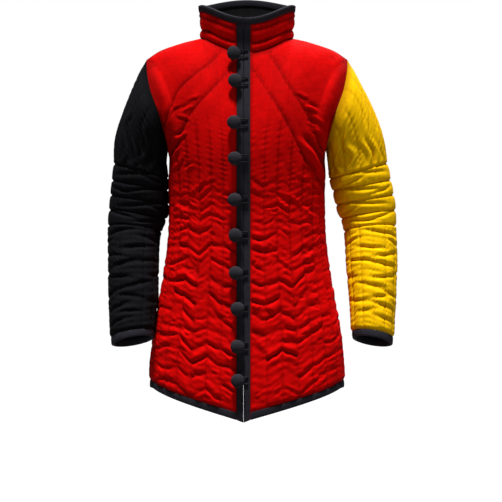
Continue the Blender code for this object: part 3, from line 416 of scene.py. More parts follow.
# Slanting quilting lines on the chest, by distance from the centre line. Each side's first ends the channels
slants = {
    -1: [{"across": (0.000, 0.030, 0.055, 0.090, 0.118, 0.142, 0.170),
          "height": (-0.040, -0.070, -0.100, -0.139, -0.174, -0.226, -0.298)},
         {"across": (0.052, 0.080, 0.112, 0.143, 0.160, 0.176),
          "height": (-0.036, -0.066, -0.092, -0.121, -0.158, -0.199)}],
    1: [{"across": (0.000, 0.030, 0.068, 0.107, 0.130, 0.170),
         "height": (-0.060, -0.103, -0.164, -0.239, -0.282, -0.330)},
        {"across": (0.045, 0.070, 0.088, 0.110, 0.131, 0.154, 0.175),
         "height": (-0.040, -0.082, -0.114, -0.149, -0.185, -0.236, -0.291)}],
}
# Creases that zigzag from line to line across the lower body: heights at the side seam, each one's depth, and
# how far up or down the zigzag stands at each quilting line, from the front edge or the centre back on
creases = {
    ("front", -1): {
        "heights": (-0.312, -0.338, -0.366, -0.392, -0.417, -0.448, -0.480, -0.514, -0.5445, -0.5785, -0.606,
                    -0.6318, -0.6545, -0.690, -0.722),
        "depth": (0.25, 0.35, 0.30, 0.45, 0.65, 0.80, 0.65, 0.85, 1.10, 0.80, 0.45, 0.75, 1.00, 0.55, 0.60),
        "zigzag": (-1.2, 0.0, 1.0, -1.0, 1.0, 0.2, -0.4, -0.8, -1.0),
    },
    ("front", 1): {
        "heights": (-0.318, -0.345, -0.372, -0.400, -0.430, -0.455, -0.482, -0.509, -0.5466, -0.5747, -0.600,
                    -0.622, -0.651, -0.684, -0.716),
        "depth": (0.25, 0.30, 0.35, 0.40, 0.50, 0.70, 0.45, 0.90, 1.00, 0.75, 0.60, 0.85, 1.10, 0.80, 0.35),
        "zigzag": (0.8, -0.4, 1.0, -1.0, 0.8, 1.1, 1.5, 1.9, 2.0),
    },
    ("back", -1): {
        "heights": (-0.296, -0.326, -0.356, -0.386, -0.414, -0.452, -0.486, -0.520, -0.556, -0.590, -0.628,
                    -0.660, -0.698, -0.724),
        "depth": (0.25, 0.40, 0.55, 0.70, 0.80, 0.60, 0.75, 0.90, 0.60, 0.95, 0.70, 0.85, 0.60, 0.35),
        "zigzag": (0.0, -1.0, 0.9, -0.9, 1.0, -0.8, 0.6, -0.6, 0.0),
    },
    ("back", 1): {
        "heights": (-0.300, -0.330, -0.352, -0.386, -0.422, -0.448, -0.490, -0.526, -0.560, -0.600, -0.634,
                    -0.668, -0.692, -0.728),
        "depth": (0.30, 0.35, 0.60, 0.65, 0.70, 0.80, 0.60, 0.95, 0.75, 0.85, 0.60, 0.80, 0.65, 0.35),
        "zigzag": (0.0, -1.0, 1.0, -0.8, 0.8, -1.0, 0.5, -0.5, 0.0),
    },
}
creaseSize = {
    "wave": 0.0075, "width": 0.0036, "depth": 0.0045, "swell": 0.0016, "straying": 0.007, "waver": 0.0015,
    "share": (-0.1, 1.4), "shareLimits": (0.05, 1.25),  # each channel's own share of the depth
    "slimness": (0.8, 1.4),
}
rippleSize = {"pitch": 0.0165, "depth": 0.0008, "below": -0.27, "fade": 0.10, "straying": 0.006, "sway": 0.25}
wrinkleSize = {"count": 130, "length": (0.010, 0.026), "width": (0.0016, 0.0030), "depth": (0.0008, 0.0022),
               "tilt": 0.020, "top": -0.29, "overHem": 0.03, "channelWidth": 0.05}
slantSize = {"channelsFade": 0.040, "channelsOpen": 0.07, "slope": 0.6, "line": 0.0015, "dip": 0.0075,
             "press": 0.95, "wrinkle": 0.0005, "wrinklePitch": 0.012, "wrinkleAside": 0.006,
             "wrinkleWidth": 0.005}
puckerSize = {"height": 0.0007, "period": (0.010, 0.015), "sway": 1.6, "least": 0.35,
              "width": 0.26, "clear": 0.08}  # the last two in channel widths from the line
strokeSize = {"lift": 1.3, "bows": (0.10, -0.05, 0.05), "waver": 0.0012, "start": 0.4, "end": 0.5,
              "hollow": 0.9, "hollowAway": 1.9}


def columnsOf(face):  # the steps over the columns, and the last column
    last = 2 * body["channels"] + (1 if face == "front" else 0)
    return np.arange(last * cloth["stepsPerColumn"] + 1) / cloth["stepsPerColumn"], last


def stopsOf(face):  # the columns where the neck and the shoulder seam end
    neck = body["neck"][face]
    return neck, neck + body["shoulder"]


def columnDistances(total, side, face, cols, last):  # from the centre line, the front's first under its tape
    if face == "back":
        return total * cols / last
    start = side * opening["x"] + opening["half"]
    line = start + tapeSize["width"]
    return np.where(cols < 1, mix(start, line, cols), line + (total - line) * (cols - 1) / (last - 1))


def halfTurn():  # from just past the centre line to the side, and the centre line's place in it
    angles = np.radians(np.arange(-9.0, 90.1, 0.75))
    return np.sin(angles), np.maximum(np.cos(angles), 0.0), 12


def topEdge(side, face, cols):
    neck, shoulderEnd = stopsOf(face)
    sine, cosine, middle = halfTurn()
    sideHeight = neckline["sideHeight"]
    if face == "front":
        height = sideHeight - (neckline["dip"] + sideHeight) * cosine ** neckline["power"]
    else:
        height = sideHeight + neckline["rise"] * cosine**2
    line = np.stack([neckline["halfWidth"] * sine, neckline[face] * cosine, height], -1)
    lengths = lengthsOf(line)
    total = lengths[-1] - lengths[middle]
    distances = columnDistances(total, side, face, np.clip(cols, 0, neck), neck)
    onNeck = alongLine(line, lengths[middle] + distances)
    onShoulder = evenly(spline(shoulderSeam), (cols - neck) / body["shoulder"])
    onArmhole = evenly(spline(armholes[face]), (cols - shoulderEnd) / body["armhole"])
    place = cols[:, None]
    return np.where(place <= neck, onNeck, np.where(place <= shoulderEnd, onShoulder, onArmhole))


def topLeans(face, cols):
    neck, shoulderEnd = stopsOf(face)
    stops = [0, neck, shoulderEnd, shoulderEnd + 4, shoulderEnd + body["armhole"]]
    result = np.zeros((len(cols), 3))
    for part in range(4):
        share = np.clip((cols - stops[part]) / (stops[part + 1] - stops[part]), 0, 1)
        share = smooth(share) if part else share**2.4
        pull = mix(np.array(leans[face][part]), np.array(leans[face][part + 1]), share[:, None])
        direction = unit(pull[:, :3] * (1, -1, 1)) * pull[:, 3:]
        here = (cols >= stops[part]) & (cols <= stops[part + 1])
        result[here] = direction[here]
    return result


def bodyGrid(side, face):  # the shaped surface, at +X with positive depth, and the rows' heights at the side
    cols, last = columnsOf(face)
    places = np.linspace(*body["places"])
    sine, cosine, middle = halfTurn()
    table = np.zeros((len(places), len(cols), 3))
    for i, place in enumerate(places):
        power = 2.0 / onCurve(sections, "squareness", place)
        across = np.sign(sine) * onCurve(sections, "halfWidth", place) * np.abs(sine) ** power
        line = np.stack([across, onCurve(sections, face, place) * cosine**power, 0 * sine], -1)
        lengths = lengthsOf(line)
        total = lengths[-1] - lengths[middle]
        table[i] = alongLine(line, lengths[middle] + columnDistances(total, side, face, cols, last))

    def level(heights):
        fall = np.maximum(0.0, 1.0 - cols / last / body["dropReach"]) ** body["dropPower"]
        amount = np.clip((body["dropStarts"] - heights) / (body["dropStarts"] - body["hem"]), 0, 1)
        place = heights[:, None] - body["drop"][face] * fall[None, :] * amount[:, None]
        flat = [[np.interp(place[:, k], places, table[:, k, a]) for k in range(len(cols))] for a in (0, 1)]
        return np.stack([np.transpose(flat[0]), np.transpose(flat[1]), place], -1)

    tapeTop = body["hem"] + tapeSize["width"]
    underTape = np.linspace(body["hem"], tapeTop, 5)[:-1]
    heights = np.concatenate([underTape, np.linspace(tapeTop, body["chest"], cloth["lowerRows"])])
    lower = level(heights)
    chest, below = lower[-1], level(np.array([body["chest"] - body["belowChest"]]))[0]
    tops = topEdge(side, face, cols)
    length = np.linalg.norm(tops - chest, axis=1, keepdims=True)
    t = np.linspace(0, 1, cloth["upperRows"] + 1)[1:, None, None]
    upper = hermite(chest, unit(chest - below) * length, tops, topLeans(face, cols) * length, t)
    return np.concatenate([lower, upper]), heights, cols, last


def pillow(share, power):  # a channel's rounded top between two quilting lines
    return 1.0 - np.abs(2.0 * share - 1.0) ** power


def puckers(fromLine, line, run, seed):  # short wrinkles that stand across a quilting line
    total = np.zeros(np.broadcast(line, run).shape)
    for number in np.unique(line):
        draw = np.random.default_rng(seed + int(number))
        period, phase = draw.uniform(*puckerSize["period"]), draw.uniform(0, 6.28)
        sway = puckerSize["sway"] * waves(run, seed + 50 + int(number), 0.07)
        strength = smooth(0.5 + waves(run, seed + 90 + int(number), 0.06))
        depth = puckerSize["least"] + (1 - puckerSize["least"]) * strength
        wrinkle = np.sin(2 * np.pi * run / period + phase + sway) * depth
        total = np.where(line == number, wrinkle, total)
    reach = bell(fromLine, puckerSize["width"])
    return total * puckerSize["height"] * reach * smooth(fromLine / puckerSize["clear"])


def strokes(across, height, table):  # folds drawn one by one: from, to, width, lift, each with a hollow below it
    total = np.zeros(across.shape)
    for number, (x0, z0, x1, z1, width, lift) in enumerate(table):
        bow = strokeSize["bows"][number % 3]
        reach = np.array((x1 - x0, z1 - z0))
        size = np.linalg.norm(reach)
        share = ((across - x0) * reach[0] + (height - z0) * reach[1]) / size**2
        above = ((height - z0) * reach[0] - (across - x0) * reach[1]) / size
        above = above - bow * size * np.sin(np.pi * np.clip(share, 0, 1))
        above = above - strokeSize["waver"] * waves(share, 800 + number, 0.5)
        ends = smooth(share / strokeSize["start"]) * smooth((1 - share) / strokeSize["end"])
        ends = ends * (0.8 + 0.4 * waves(share, 820 + number, 0.6))
        hollow = bell(above + strokeSize["hollowAway"] * width, 0.9 * width)
        total += lift * ends * (bell(above, width) - strokeSize["hollow"] * hollow)
    return total


# Drag folds and dents: by distance from the centre line and height, in the sizes that the photograph shows
frontStrokes = {
    1: [(0.104, -0.206, 0.174, -0.312, 0.0075, -0.0046), (0.098, -0.122, 0.134, -0.139, 0.0030, 0.0019),
        (0.112, -0.143, 0.160, -0.166, 0.0038, -0.0020), (0.114, -0.156, 0.146, -0.166, 0.0026, 0.0016),
        (0.126, -0.164, 0.170, -0.192, 0.0034, 0.0020), (0.120, -0.182, 0.150, -0.196, 0.0028, -0.0018),
        (0.130, -0.198, 0.168, -0.224, 0.0036, 0.0020), (0.140, -0.214, 0.172, -0.256, 0.0040, -0.0024),
        (0.104, -0.240, 0.132, -0.262, 0.0034, 0.0018), (0.112, -0.262, 0.150, -0.300, 0.0040, -0.0020),
        (0.100, -0.292, 0.124, -0.306, 0.0030, 0.0014), (0.124, -0.306, 0.154, -0.330, 0.0034, 0.0018),
        (0.060, -0.330, 0.120, -0.372, 0.0044, 0.0016), (0.112, -0.352, 0.156, -0.386, 0.0044, -0.0018),
        (0.040, -0.450, 0.085, -0.486, 0.0050, 0.0016), (0.020, -0.560, 0.070, -0.600, 0.0055, 0.0014),
        (0.090, -0.470, 0.150, -0.440, 0.0060, -0.0018), (0.016, -0.640, 0.060, -0.690, 0.0055, 0.0016)],
    -1: [(0.112, -0.186, 0.150, -0.172, 0.0030, 0.0018), (0.120, -0.198, 0.158, -0.216, 0.0036, -0.0020),
         (0.122, -0.208, 0.152, -0.232, 0.0032, 0.0020), (0.136, -0.226, 0.168, -0.284, 0.0046, -0.0026),
         (0.092, -0.130, 0.128, -0.140, 0.0030, 0.0014), (0.100, -0.146, 0.150, -0.166, 0.0036, -0.0016),
         (0.134, -0.146, 0.168, -0.176, 0.0032, 0.0016), (0.126, -0.250, 0.156, -0.290, 0.0034, 0.0018),
         (0.104, -0.268, 0.134, -0.288, 0.0034, -0.0014), (0.060, -0.300, 0.120, -0.345, 0.0044, 0.0016),
         (0.100, -0.372, 0.150, -0.345, 0.0050, -0.0018),
         (0.040, -0.430, 0.090, -0.402, 0.0055, 0.0016), (0.086, -0.520, 0.150, -0.486, 0.0060, -0.0018),
         (0.030, -0.600, 0.075, -0.566, 0.0050, 0.0014), (0.090, -0.640, 0.160, -0.612, 0.0060, -0.0016)],
}
backStrokes = {
    1: [(0.120, -0.190, 0.166, -0.270, 0.0070, 0.0026), (0.100, -0.220, 0.160, -0.300, 0.0060, -0.0020),
        (0.030, -0.372, 0.110, -0.392, 0.0065, -0.0022), (0.040, -0.404, 0.130, -0.416, 0.0060, 0.0018),
        (0.060, -0.330, 0.140, -0.352, 0.0060, 0.0016), (0.060, -0.520, 0.130, -0.488, 0.0060, -0.0014)],
    -1: [(0.124, -0.200, 0.168, -0.262, 0.0060, 0.0024), (0.090, -0.240, 0.150, -0.310, 0.0065, -0.0018),
         (0.020, -0.384, 0.120, -0.372, 0.0065, -0.0022), (0.030, -0.352, 0.120, -0.344, 0.0060, 0.0018),
         (0.070, -0.430, 0.150, -0.412, 0.0060, 0.0014), (0.050, -0.560, 0.120, -0.590, 0.0060, -0.0014)],
}


def minorWrinkles(phase, rows, zigzag, seed):  # short ones, within a channel, near the slope of the creases
    draw = np.random.default_rng(seed)
    total = np.zeros(phase.shape)
    for _ in range(wrinkleSize["count"]):
        channel = draw.integers(0, body["channels"])
        level = draw.uniform(body["hem"] + wrinkleSize["overHem"], wrinkleSize["top"])
        middle = channel + draw.uniform(0.3, 0.7)
        half = draw.uniform(*wrinkleSize["length"]) / wrinkleSize["channelWidth"]
        tilt = draw.uniform(-wrinkleSize["tilt"], wrinkleSize["tilt"])
        width, depth = draw.uniform(*wrinkleSize["width"]), draw.uniform(*wrinkleSize["depth"])
        away = rows - level - tilt * (phase - middle) - 0.6 * creaseSize["wave"] * zigzag
        reach = smooth(1.0 - np.abs(phase - middle) / half)
        total += depth * reach * (bell(away + 2.2 * width, 1.6 * width) * 0.6 - bell(away, width))
    return total


def chestField(side, across, height):  # how much the channels show, and how deep a slanting line presses
    ends = onCurve(slants[side][0], "height", across, "across")
    below = smooth((ends - height) / slantSize["channelsFade"])
    opened = smooth((body["channelsEnd"] - height) / slantSize["channelsOpen"])
    press, nearest = np.zeros(across.shape), np.full(across.shape, 1.0)
    for table in slants[side]:
        away = (height - onCurve(table, "height", across, "across")) * slantSize["slope"]
        away = np.where(across < table["across"][0], 1.0, away)
        press = np.maximum(press, 0.6 * bell(away, slantSize["line"]) + 0.4 * bell(away, slantSize["dip"]))
        nearest = np.where(np.abs(away) < np.abs(nearest), away, nearest)
    return below * opened, press, nearest


def zigzagCreases(result, table, rows, across, phase, zigzag, held, seed):  # each channel with its own depth
    channel, count = np.floor(phase).astype(int), body["channels"] + 2
    for number, (level, depth) in enumerate(zip(table["heights"], table["depth"])):
        draw = np.random.default_rng(seed + number)
        shares = np.clip(draw.uniform(*creaseSize["share"], count), *creaseSize["shareLimits"])
        own = shares[channel] * depth * held
        stray = np.interp(phase, np.arange(count), draw.uniform(-1, 1, count)) * creaseSize["straying"]
        slim = creaseSize["width"] * draw.uniform(*creaseSize["slimness"], count)[channel]
        away = rows - level - creaseSize["wave"] * zigzag - stray
        away = away - creaseSize["waver"] * waves(across + level, seed + number, 0.03)
        result = result - creaseSize["depth"] * own * bell(away, slim)
        swell = bell(away - 2.6 * slim, 1.9 * slim) + bell(away + 2.4 * slim, 1.6 * slim)
        result = result + creaseSize["swell"] * own * swell
    return result


def ripples(rows, across, phase, zigzag, seed):  # in patches, between the creases and along them
    draw = np.random.default_rng(seed + 31)
    stray = np.interp(phase, np.arange(10), draw.uniform(-rippleSize["straying"], rippleSize["straying"], 10))
    turn = (rows - creaseSize["wave"] * zigzag - stray) / rippleSize["pitch"]
    turn = turn + rippleSize["sway"] * waves(across, seed + 33, 0.04)
    patches = waves(rows + 0.3 * across, seed + 34, 0.09), waves(across - 0.2 * rows, seed + 35, 0.07)
    patchy = 0.5 + 1.8 * patches[0] * patches[1]
    return rippleSize["depth"] * np.sin(2 * np.pi * turn) * patchy


def bodyHeights(grid, sideHeights, cols, last, side, face):  # the outer cloth over the shaped surface
    line = cloth["line"]
    first = 1 if face == "front" else 0
    across, height = np.abs(grid[..., 0]), grid[..., 2]
    place = np.broadcast_to(cols[None, :], across.shape)
    phase = np.maximum(place - first, 0.0) / 2.0
    share, channel = phase % 1.0, np.floor(phase).astype(int)
    nearLine = np.round(phase).astype(int)
    fromLine = np.abs(phase - nearLine)
    run = runOn(grid)
    toTop = run[-1:] - run
    seed = {"front": 100, "back": 300}[face] + (0 if side > 0 else 1000)
    if face == "front":
        channels, press, aside = chestField(side, across, height)
    else:
        channels, press, aside = np.ones(across.shape), 0.0, np.ones(across.shape)
    # pads
    pad = np.where((face == "front") & (place < 3), body["firstPad"], body["pad"])
    pad = pad * (1.0 + body["padSwing"] * waves(run + channel * 0.31, seed + 7, 0.16))
    ridge = mix(cloth["relief"], pad, pillow(share, 2.6))
    ridge = mix(ridge, cloth["stitched"], bell(fromLine * body["channelWidth"], body["stitchHalf"]))
    result = mix(np.minimum(body["chestPad"], pad), ridge, channels)
    result = mix(result, line, press * slantSize["press"])
    # creases and small folds
    rows = np.full(across.shape, 1.0)
    rows[: len(sideHeights)] = sideHeights[:, None]
    table = creases[face, side]
    zigzag = np.interp(phase, np.arange(len(table["zigzag"])), table["zigzag"])
    held = 0.55 + 0.45 * smooth(share * 5) * smooth((1 - share) * 5)  # less at the lines and towards the side
    held = held * mix(1.0, 0.35, smooth((phase - 4.5) / 2.0))
    low = smooth((rippleSize["below"] - rows) / rippleSize["fade"])
    result = zigzagCreases(result, table, rows, across, phase, zigzag, held, seed)
    result = result + ripples(rows, across, phase, zigzag, seed) * held * low
    result = result + minorWrinkles(phase, rows, zigzag, seed + 60) * held * low
    result = np.maximum(result, line)
    # wrinkles beside the stitching, and the cloth's unevenness
    result = result + puckers(fromLine, nearLine, run, seed + 200) * mix(0.3, 1.0, channels) * (place > first)
    slantRun = across * 1.6
    wrinkle = np.sin(2 * np.pi * slantRun / slantSize["wrinklePitch"] + 2 * waves(slantRun, seed + 3, 0.05))
    beside = bell(np.abs(aside) - slantSize["wrinkleAside"], slantSize["wrinkleWidth"])
    result = result + wrinkle * slantSize["wrinkle"] * beside
    result = result + (body["unevenness"] * waves(run + across * 0.8, seed + 11, 0.045)
                       * waves(across * 1.3, seed + 12, 0.05))
    taper = np.where(place >= stopsOf(face)[1], body["armholeTaper"], body["neckTaper"])
    result = mix(line, result, smooth(toTop / taper))
    drawing = (frontStrokes if face == "front" else backStrokes)[side]
    drawn = strokeSize["lift"] * strokes(across, height, drawing)
    drawn = drawn * smooth((place - first) / 1.5) * smooth(toTop / 0.016)
    result = np.maximum(result + drawn, line)
    # flat under the tapes and at the seams
    flat = smooth((run - tapeSize["width"] * 0.85) / 0.012) * smooth((last - place) / 0.8)
    if face == "front":
        flat = flat * smooth((place - 0.9) / 0.5)
    result = mix(line, result, flat)
    return np.maximum(result, line - cloth["lowest"]), grooveOf(result, pad), channels


def flip(side, face, grid):
    return grid * np.array((side, -1.0 if face == "front" else 1.0, 1.0))


def edgeMitres(side, face, top, normals, cols, last):  # directions through and across the seam's thickness
    neck, shoulderEnd = stopsOf(face)
    forward = -1.0 if face == "front" else 1.0
    along = unit(np.gradient(top, axis=0))
    ends = np.isin(cols, (neck, shoulderEnd, last))
    along[ends] = (0.0, 1.0, 0.0)
    flatten = np.where(ends[:, None], np.array((1.0, 0.0, 1.0)), 1.0)
    neckMitre = unit((normals + unit(top * (1, 1, 0)) * 1.2) * flatten)
    neckAcross = unit(np.cross(along, neckMitre))
    neckAcross = neckAcross * np.where(neckAcross[:, 2:] > 0, 1.0, -1.0)
    share = np.clip((cols - shoulderEnd) / (last - shoulderEnd), 0, 1)
    turn = smooth(share)
    sleeveOut = [side * mix(0.45, -0.75, turn), forward * np.sin(np.pi * share), mix(0.75, -0.75, turn)]
    holeMitre = unit(unit(normals + unit(np.stack(sleeveOut, -1)) * 0.6) * flatten)
    holeAcross = unit(np.cross(along, holeMitre))
    holeAcross = holeAcross * np.where(holeAcross[:, :1] * side > 0, 1.0, -1.0)
    place = cols[:, None]
    flatMitre = unit(normals * (1, 0, 1))
    flatAcross = np.broadcast_to(np.array((0.0, -forward, 0.0)), flatMitre.shape)
    mitre = np.where(place <= neck, neckMitre, np.where(place < shoulderEnd, flatMitre, holeMitre))
    across = np.where(place <= neck, neckAcross, np.where(place < shoulderEnd, flatAcross, holeAcross))
    return mitre, across


def halfPanel(side, face):
    plain, sideHeights, cols, last = bodyGrid(side, face)
    heights, groove, channels = bodyHeights(plain, sideHeights, cols, last, side, face)
    grid = flip(side, face, plain)
    forward = -1.0 if face == "front" else 1.0
    within = np.zeros(grid.shape)
    within[..., 0], within[..., 1] = side * 0.05, forward * 0.02
    within[..., 2] = np.where(np.arange(len(grid))[:, None] < len(sideHeights), grid[:, :1, 2], -0.2)
    normals = normalsOf(grid, within, calm=10)
    edge = smooth(np.clip(cols - (last - 1), 0, 1))[None, :, None]
    normals = unit(mix(normals, unit(normals * (1, 0, 1)), edge))
    if face == "back":
        normals[:, 0] = unit(normals[:, 0] * (0, 1, 1))
    neck, shoulderEnd = stopsOf(face)
    top = grid[-1].copy()
    mitre, across = edgeMitres(side, face, top, normals[-1], cols, last)
    for back in range(5):
        normals[-1 - back] = unit(mix(mitre, normals[-1 - back], back / 5))
    keep = cloth["seamHalf"] * forward
    grid[:, -1, 1] += keep
    onSeam = (cols >= neck) & (cols <= shoulderEnd)
    grid[-1, onSeam, 1] = keep
    shift = across * -cloth["seamHalf"]
    flatHere = (cols == neck) | (cols >= shoulderEnd)
    shift[flatHere, 1] = 0.0
    moving = (cols <= neck) | (cols >= shoulderEnd)
    grid[-1, moving] += shift[moving]
    return {
        "outer": grid + normals * heights[..., None], "inner": grid - normals * cloth["lining"],
        "groove": groove, "last": last, "normals": normals, "channels": channels,
        "neckEdge": (mitre[cols <= neck], across[cols <= neck], top[cols <= neck]),
        "holeEdge": (mitre[cols >= shoulderEnd], across[cols >= shoulderEnd]),
    }


def quiltingStitches(piece, half, first):  # on every second column, where the quilting lines are
    for column in range(first, half["last"], 2):
        k = column * cloth["stepsPerColumn"]
        shown = half["channels"][4:-4, k] > 0.5
        addThreads(piece, half["outer"][4:-4, k][shown], half["normals"][4:-4, k][shown])


def addThreads(piece, line, normals, kind="quilting"):  # short threads that lie along a line
    if len(line) < 3:
        return
    pitch, length, radius, lift = [stitches[kind][key] for key in ("pitch", "length", "radius", "lift")]
    lengths = lengthsOf(line)
    places = np.arange(pitch, lengths[-1] - pitch, pitch)
    middles = alongLine(line, places)
    ahead = unit(alongLine(line, places + 0.001) - middles)
    up = unit(between(places, lengths, normals))
    aside = np.cross(ahead, up)
    middles = middles + up * lift
    corners = [middles - ahead * length / 2 - up * radius]
    corners += [middles + (aside * a + up * b) * radius for a, b in ((-1, 0), (0, 1), (1, 0), (0, -1))]
    corners += [middles + ahead * length / 2 - up * radius]
    start = piece.add(np.stack(corners, 1), 0.2)
    shape = [(0, 2, 1), (0, 3, 2), (0, 4, 3), (0, 1, 4), (5, 1, 2), (5, 2, 3), (5, 3, 4), (5, 4, 1)]
    faces = [[start + 6 * i + j for j in face] for i in range(len(places)) for face in shape]
    piece.cover(faces, slot=stitches[kind]["slot"])


halves = {(side, face): halfPanel(side, face) for side in (-1, 1) for face in ("front", "back")}
rightFront, leftFront = halves[-1, "front"], halves[1, "front"]
rightBack, leftBack = halves[-1, "back"], halves[1, "back"]


def frontPiece(name, half, node):
    piece = Piece(name)
    wall(piece, half["outer"], half["inner"], half["groove"])
    quiltingStitches(piece, half, 3)
    return piece.make(redCloth, node)


def backPiece():
    piece = Piece("quiltedBack")
    wall(piece, *[np.concatenate([rightBack[key][:, :0:-1], leftBack[key]], 1)
                  for key in ("outer", "inner", "groove")])
    quiltingStitches(piece, rightBack, 2)
    quiltingStitches(piece, leftBack, 0)
    return piece.make(redCloth, "back")


frontRight = frontPiece("quiltedFrontRight", rightFront, "front_right")
frontLeft = frontPiece("quiltedFrontLeft", leftFront, "front_left")
back = backPiece()
print("body made")


# Sleeves: rings from the cuff up, and a cap that joins them to the armhole

sleeve = {
    "channels": 12, "stepsPerChannel": 14, "channelWidth": 0.027, "capRows": 72, "rows": 181,
    "pad": 0.0064, "padSwing": 0.10, "taper": 0.030, "cuff": -0.646, "lowest": 0.0008, "unevenness": 0.0007,
    "elbowTop": -0.286, "band": 0.031, "bands": 4, "bandPress": 0.8, "bandLine": 0.0022,
    "girth": 0.055,  # turns an angle into a length round the arm
    "ripple": 0.0125, "rippleDepth": 0.0007,
}
elbowEnd = sleeve["elbowTop"] - sleeve["band"] * sleeve["bands"]
cuffTapeTop = sleeve["cuff"] + tapeSize["width"]
rings = {
    "height": (-0.646, -0.595, -0.563, -0.527, -0.484, -0.420, -0.383, -0.362, -0.319, -0.286, -0.262),
    "depth": (-0.062, -0.048, -0.038, -0.027, -0.014, 0.004, 0.011, 0.012, 0.010, 0.008, 0.006),
    "radiusY": (0.046, 0.049, 0.051, 0.053, 0.055, 0.057, 0.059, 0.061, 0.062, 0.063, 0.063),
    "slopeOut": (-0.19, -0.12, -0.08, -0.04, 0.00, 0.08, 0.14, 0.17, 0.18, 0.28, 0.45),
    "slopeFront": (0.26, 0.26, 0.26, 0.25, 0.22, 0.14, 0.06, 0.02, 0.00, 0.00, 0.00),
    "rightX": (0.2415, 0.2425, 0.2410, 0.2425, 0.2430, 0.2425, 0.2365, 0.2320, 0.2303, 0.2281, 0.2285),
    "rightR": (0.0420, 0.0440, 0.0470, 0.0475, 0.0485, 0.0510, 0.0560, 0.0583, 0.0558, 0.0538, 0.0510),
    "leftX": (0.2655, 0.2665, 0.2675, 0.2670, 0.2670, 0.2655, 0.2620, 0.2570, 0.2475, 0.2400, 0.2370),
    "leftR": (0.0395, 0.0415, 0.0440, 0.0460, 0.0490, 0.0500, 0.0530, 0.0565, 0.0575, 0.0570, 0.0555),
}
# How the sleeve leaves the armhole at the shoulder, the middle and the armpit: out, forward, down and pull
leaves = [(0.39, 0.00, 0.92, 0.7), (0.80, 0.22, 0.45, 0.8), (0.90, 0.00, 0.45, 0.7)]
# Crumples pressed across the forearm: height, middle in degrees from the outside to the front, half span,
# tilt, depth and width
crumples = [
    (-0.428, 60, 70, 0.006, 0.0022, 0.0048), (-0.441, 150, 60, -0.005, 0.0018, 0.0045),
    (-0.449, 20, 50, 0.008, 0.0020, 0.0042), (-0.458, 95, 60, 0.004, 0.0024, 0.0048),
    (-0.470, 230, 80, -0.006, 0.0020, 0.0052), (-0.476, 50, 55, -0.007, 0.0022, 0.0045),
    (-0.487, 120, 50, 0.005, 0.0018, 0.0040), (-0.497, 80, 70, 0.006, 0.0024, 0.0050),
    (-0.506, 10, 45, -0.006, 0.0018, 0.0042), (-0.515, 160, 60, 0.007, 0.0020, 0.0048),
    (-0.523, 70, 55, -0.005, 0.0022, 0.0044), (-0.534, 250, 90, 0.005, 0.0018, 0.0052),
    (-0.541, 105, 60, 0.006, 0.0022, 0.0046), (-0.552, 40, 60, 0.005, 0.0020, 0.0044),
    (-0.563, 85, 50, -0.006, 0.0020, 0.0042), (-0.572, 140, 55, 0.005, 0.0018, 0.0045),
    (-0.583, 60, 65, 0.005, 0.0020, 0.0048), (-0.596, 100, 50, -0.004, 0.0016, 0.0042),
    (-0.603, 300, 70, 0.004, 0.0016, 0.0050), (-0.610, 50, 55, 0.004, 0.0016, 0.0045),
]
# Folds within the elbow bands, in the same columns
elbowFolds = [
    (-0.296, 60, 60, 0.006, 0.0016, 0.0040), (-0.304, 130, 50, -0.007, 0.0016, 0.0040),
    (-0.300, 260, 80, 0.005, 0.0014, 0.0045), (-0.326, 100, 60, 0.008, 0.0020, 0.0042),
    (-0.334, 40, 45, -0.006, 0.0018, 0.0040), (-0.330, 230, 70, -0.006, 0.0014, 0.0045),
    (-0.357, 80, 60, 0.008, 0.0020, 0.0042), (-0.364, 140, 45, -0.006, 0.0016, 0.0038),
    (-0.362, 280, 80, 0.006, 0.0014, 0.0045), (-0.388, 60, 55, -0.007, 0.0018, 0.0040),
    (-0.396, 115, 55, 0.006, 0.0020, 0.0042), (-0.392, 220, 70, 0.004, 0.0014, 0.0045),
]
# Standing folds on the upper arm: middle in degrees from the outside to the front, from and to as shares of
# the way down to the elbow, sideways sway in degrees, height and width
armFolds = [
    (20, 0.45, 0.98, 5, 0.0016, 0.0042), (48, 0.30, 1.00, 7, 0.0022, 0.0050),
    (76, 0.52, 1.00, 6, 0.0024, 0.0044), (100, 0.25, 0.92, 7, 0.0022, 0.0052),
    (128, 0.48, 1.00, 6, 0.0022, 0.0046), (155, 0.35, 0.95, 5, 0.0018, 0.0050),
    (205, 0.45, 1.00, 6, 0.0018, 0.0052), (240, 0.35, 0.95, 6, 0.0020, 0.0054),
    (275, 0.50, 1.00, 5, 0.0018, 0.0050), (315, 0.40, 0.98, 6, 0.0018, 0.0052),
    (345, 0.55, 1.00, 5, 0.0016, 0.0044),
]
crumpleSize = {"turn": 14, "rise": 0.003, "tilt": 1.7, "waver": 0.0015, "slimness": (0.75, 1.05),
               "depth": 1.9, "swell": 0.4}
armFoldSize = {"turn": 10, "swing": 1.8, "girth": 0.058, "start": 0.2, "end": 0.12, "hollowAway": 1.9}


def armholeLine(side, angles):  # 0 at the shoulder point, half a turn at the armpit, by way of the front
    turn = np.mod(angles, 2 * np.pi)
    front = turn <= np.pi
    share = np.where(front, turn, 2 * np.pi - turn) / np.pi
    onFront = flip(side, "front", evenly(spline(armholes["front"]), share))
    onBack = flip(side, "back", evenly(spline(armholes["back"]), share))
    return np.where(front[:, None], onFront, onBack)


def ringPoints(side, heights, angles):
    name = "right" if side < 0 else "left"
    heights = np.atleast_1d(heights)[:, None]
    out = onCurve(rings, name + "R", heights) * np.cos(angles)[None, :]
    forward = onCurve(rings, "radiusY", heights) * np.sin(angles)[None, :]
    rise = onCurve(rings, "slopeOut", heights) * out + onCurve(rings, "slopeFront", heights) * forward
    across = side * (onCurve(rings, name + "X", heights) + out)
    return np.stack([across, onCurve(rings, "depth", heights) - forward, heights + rise], -1)


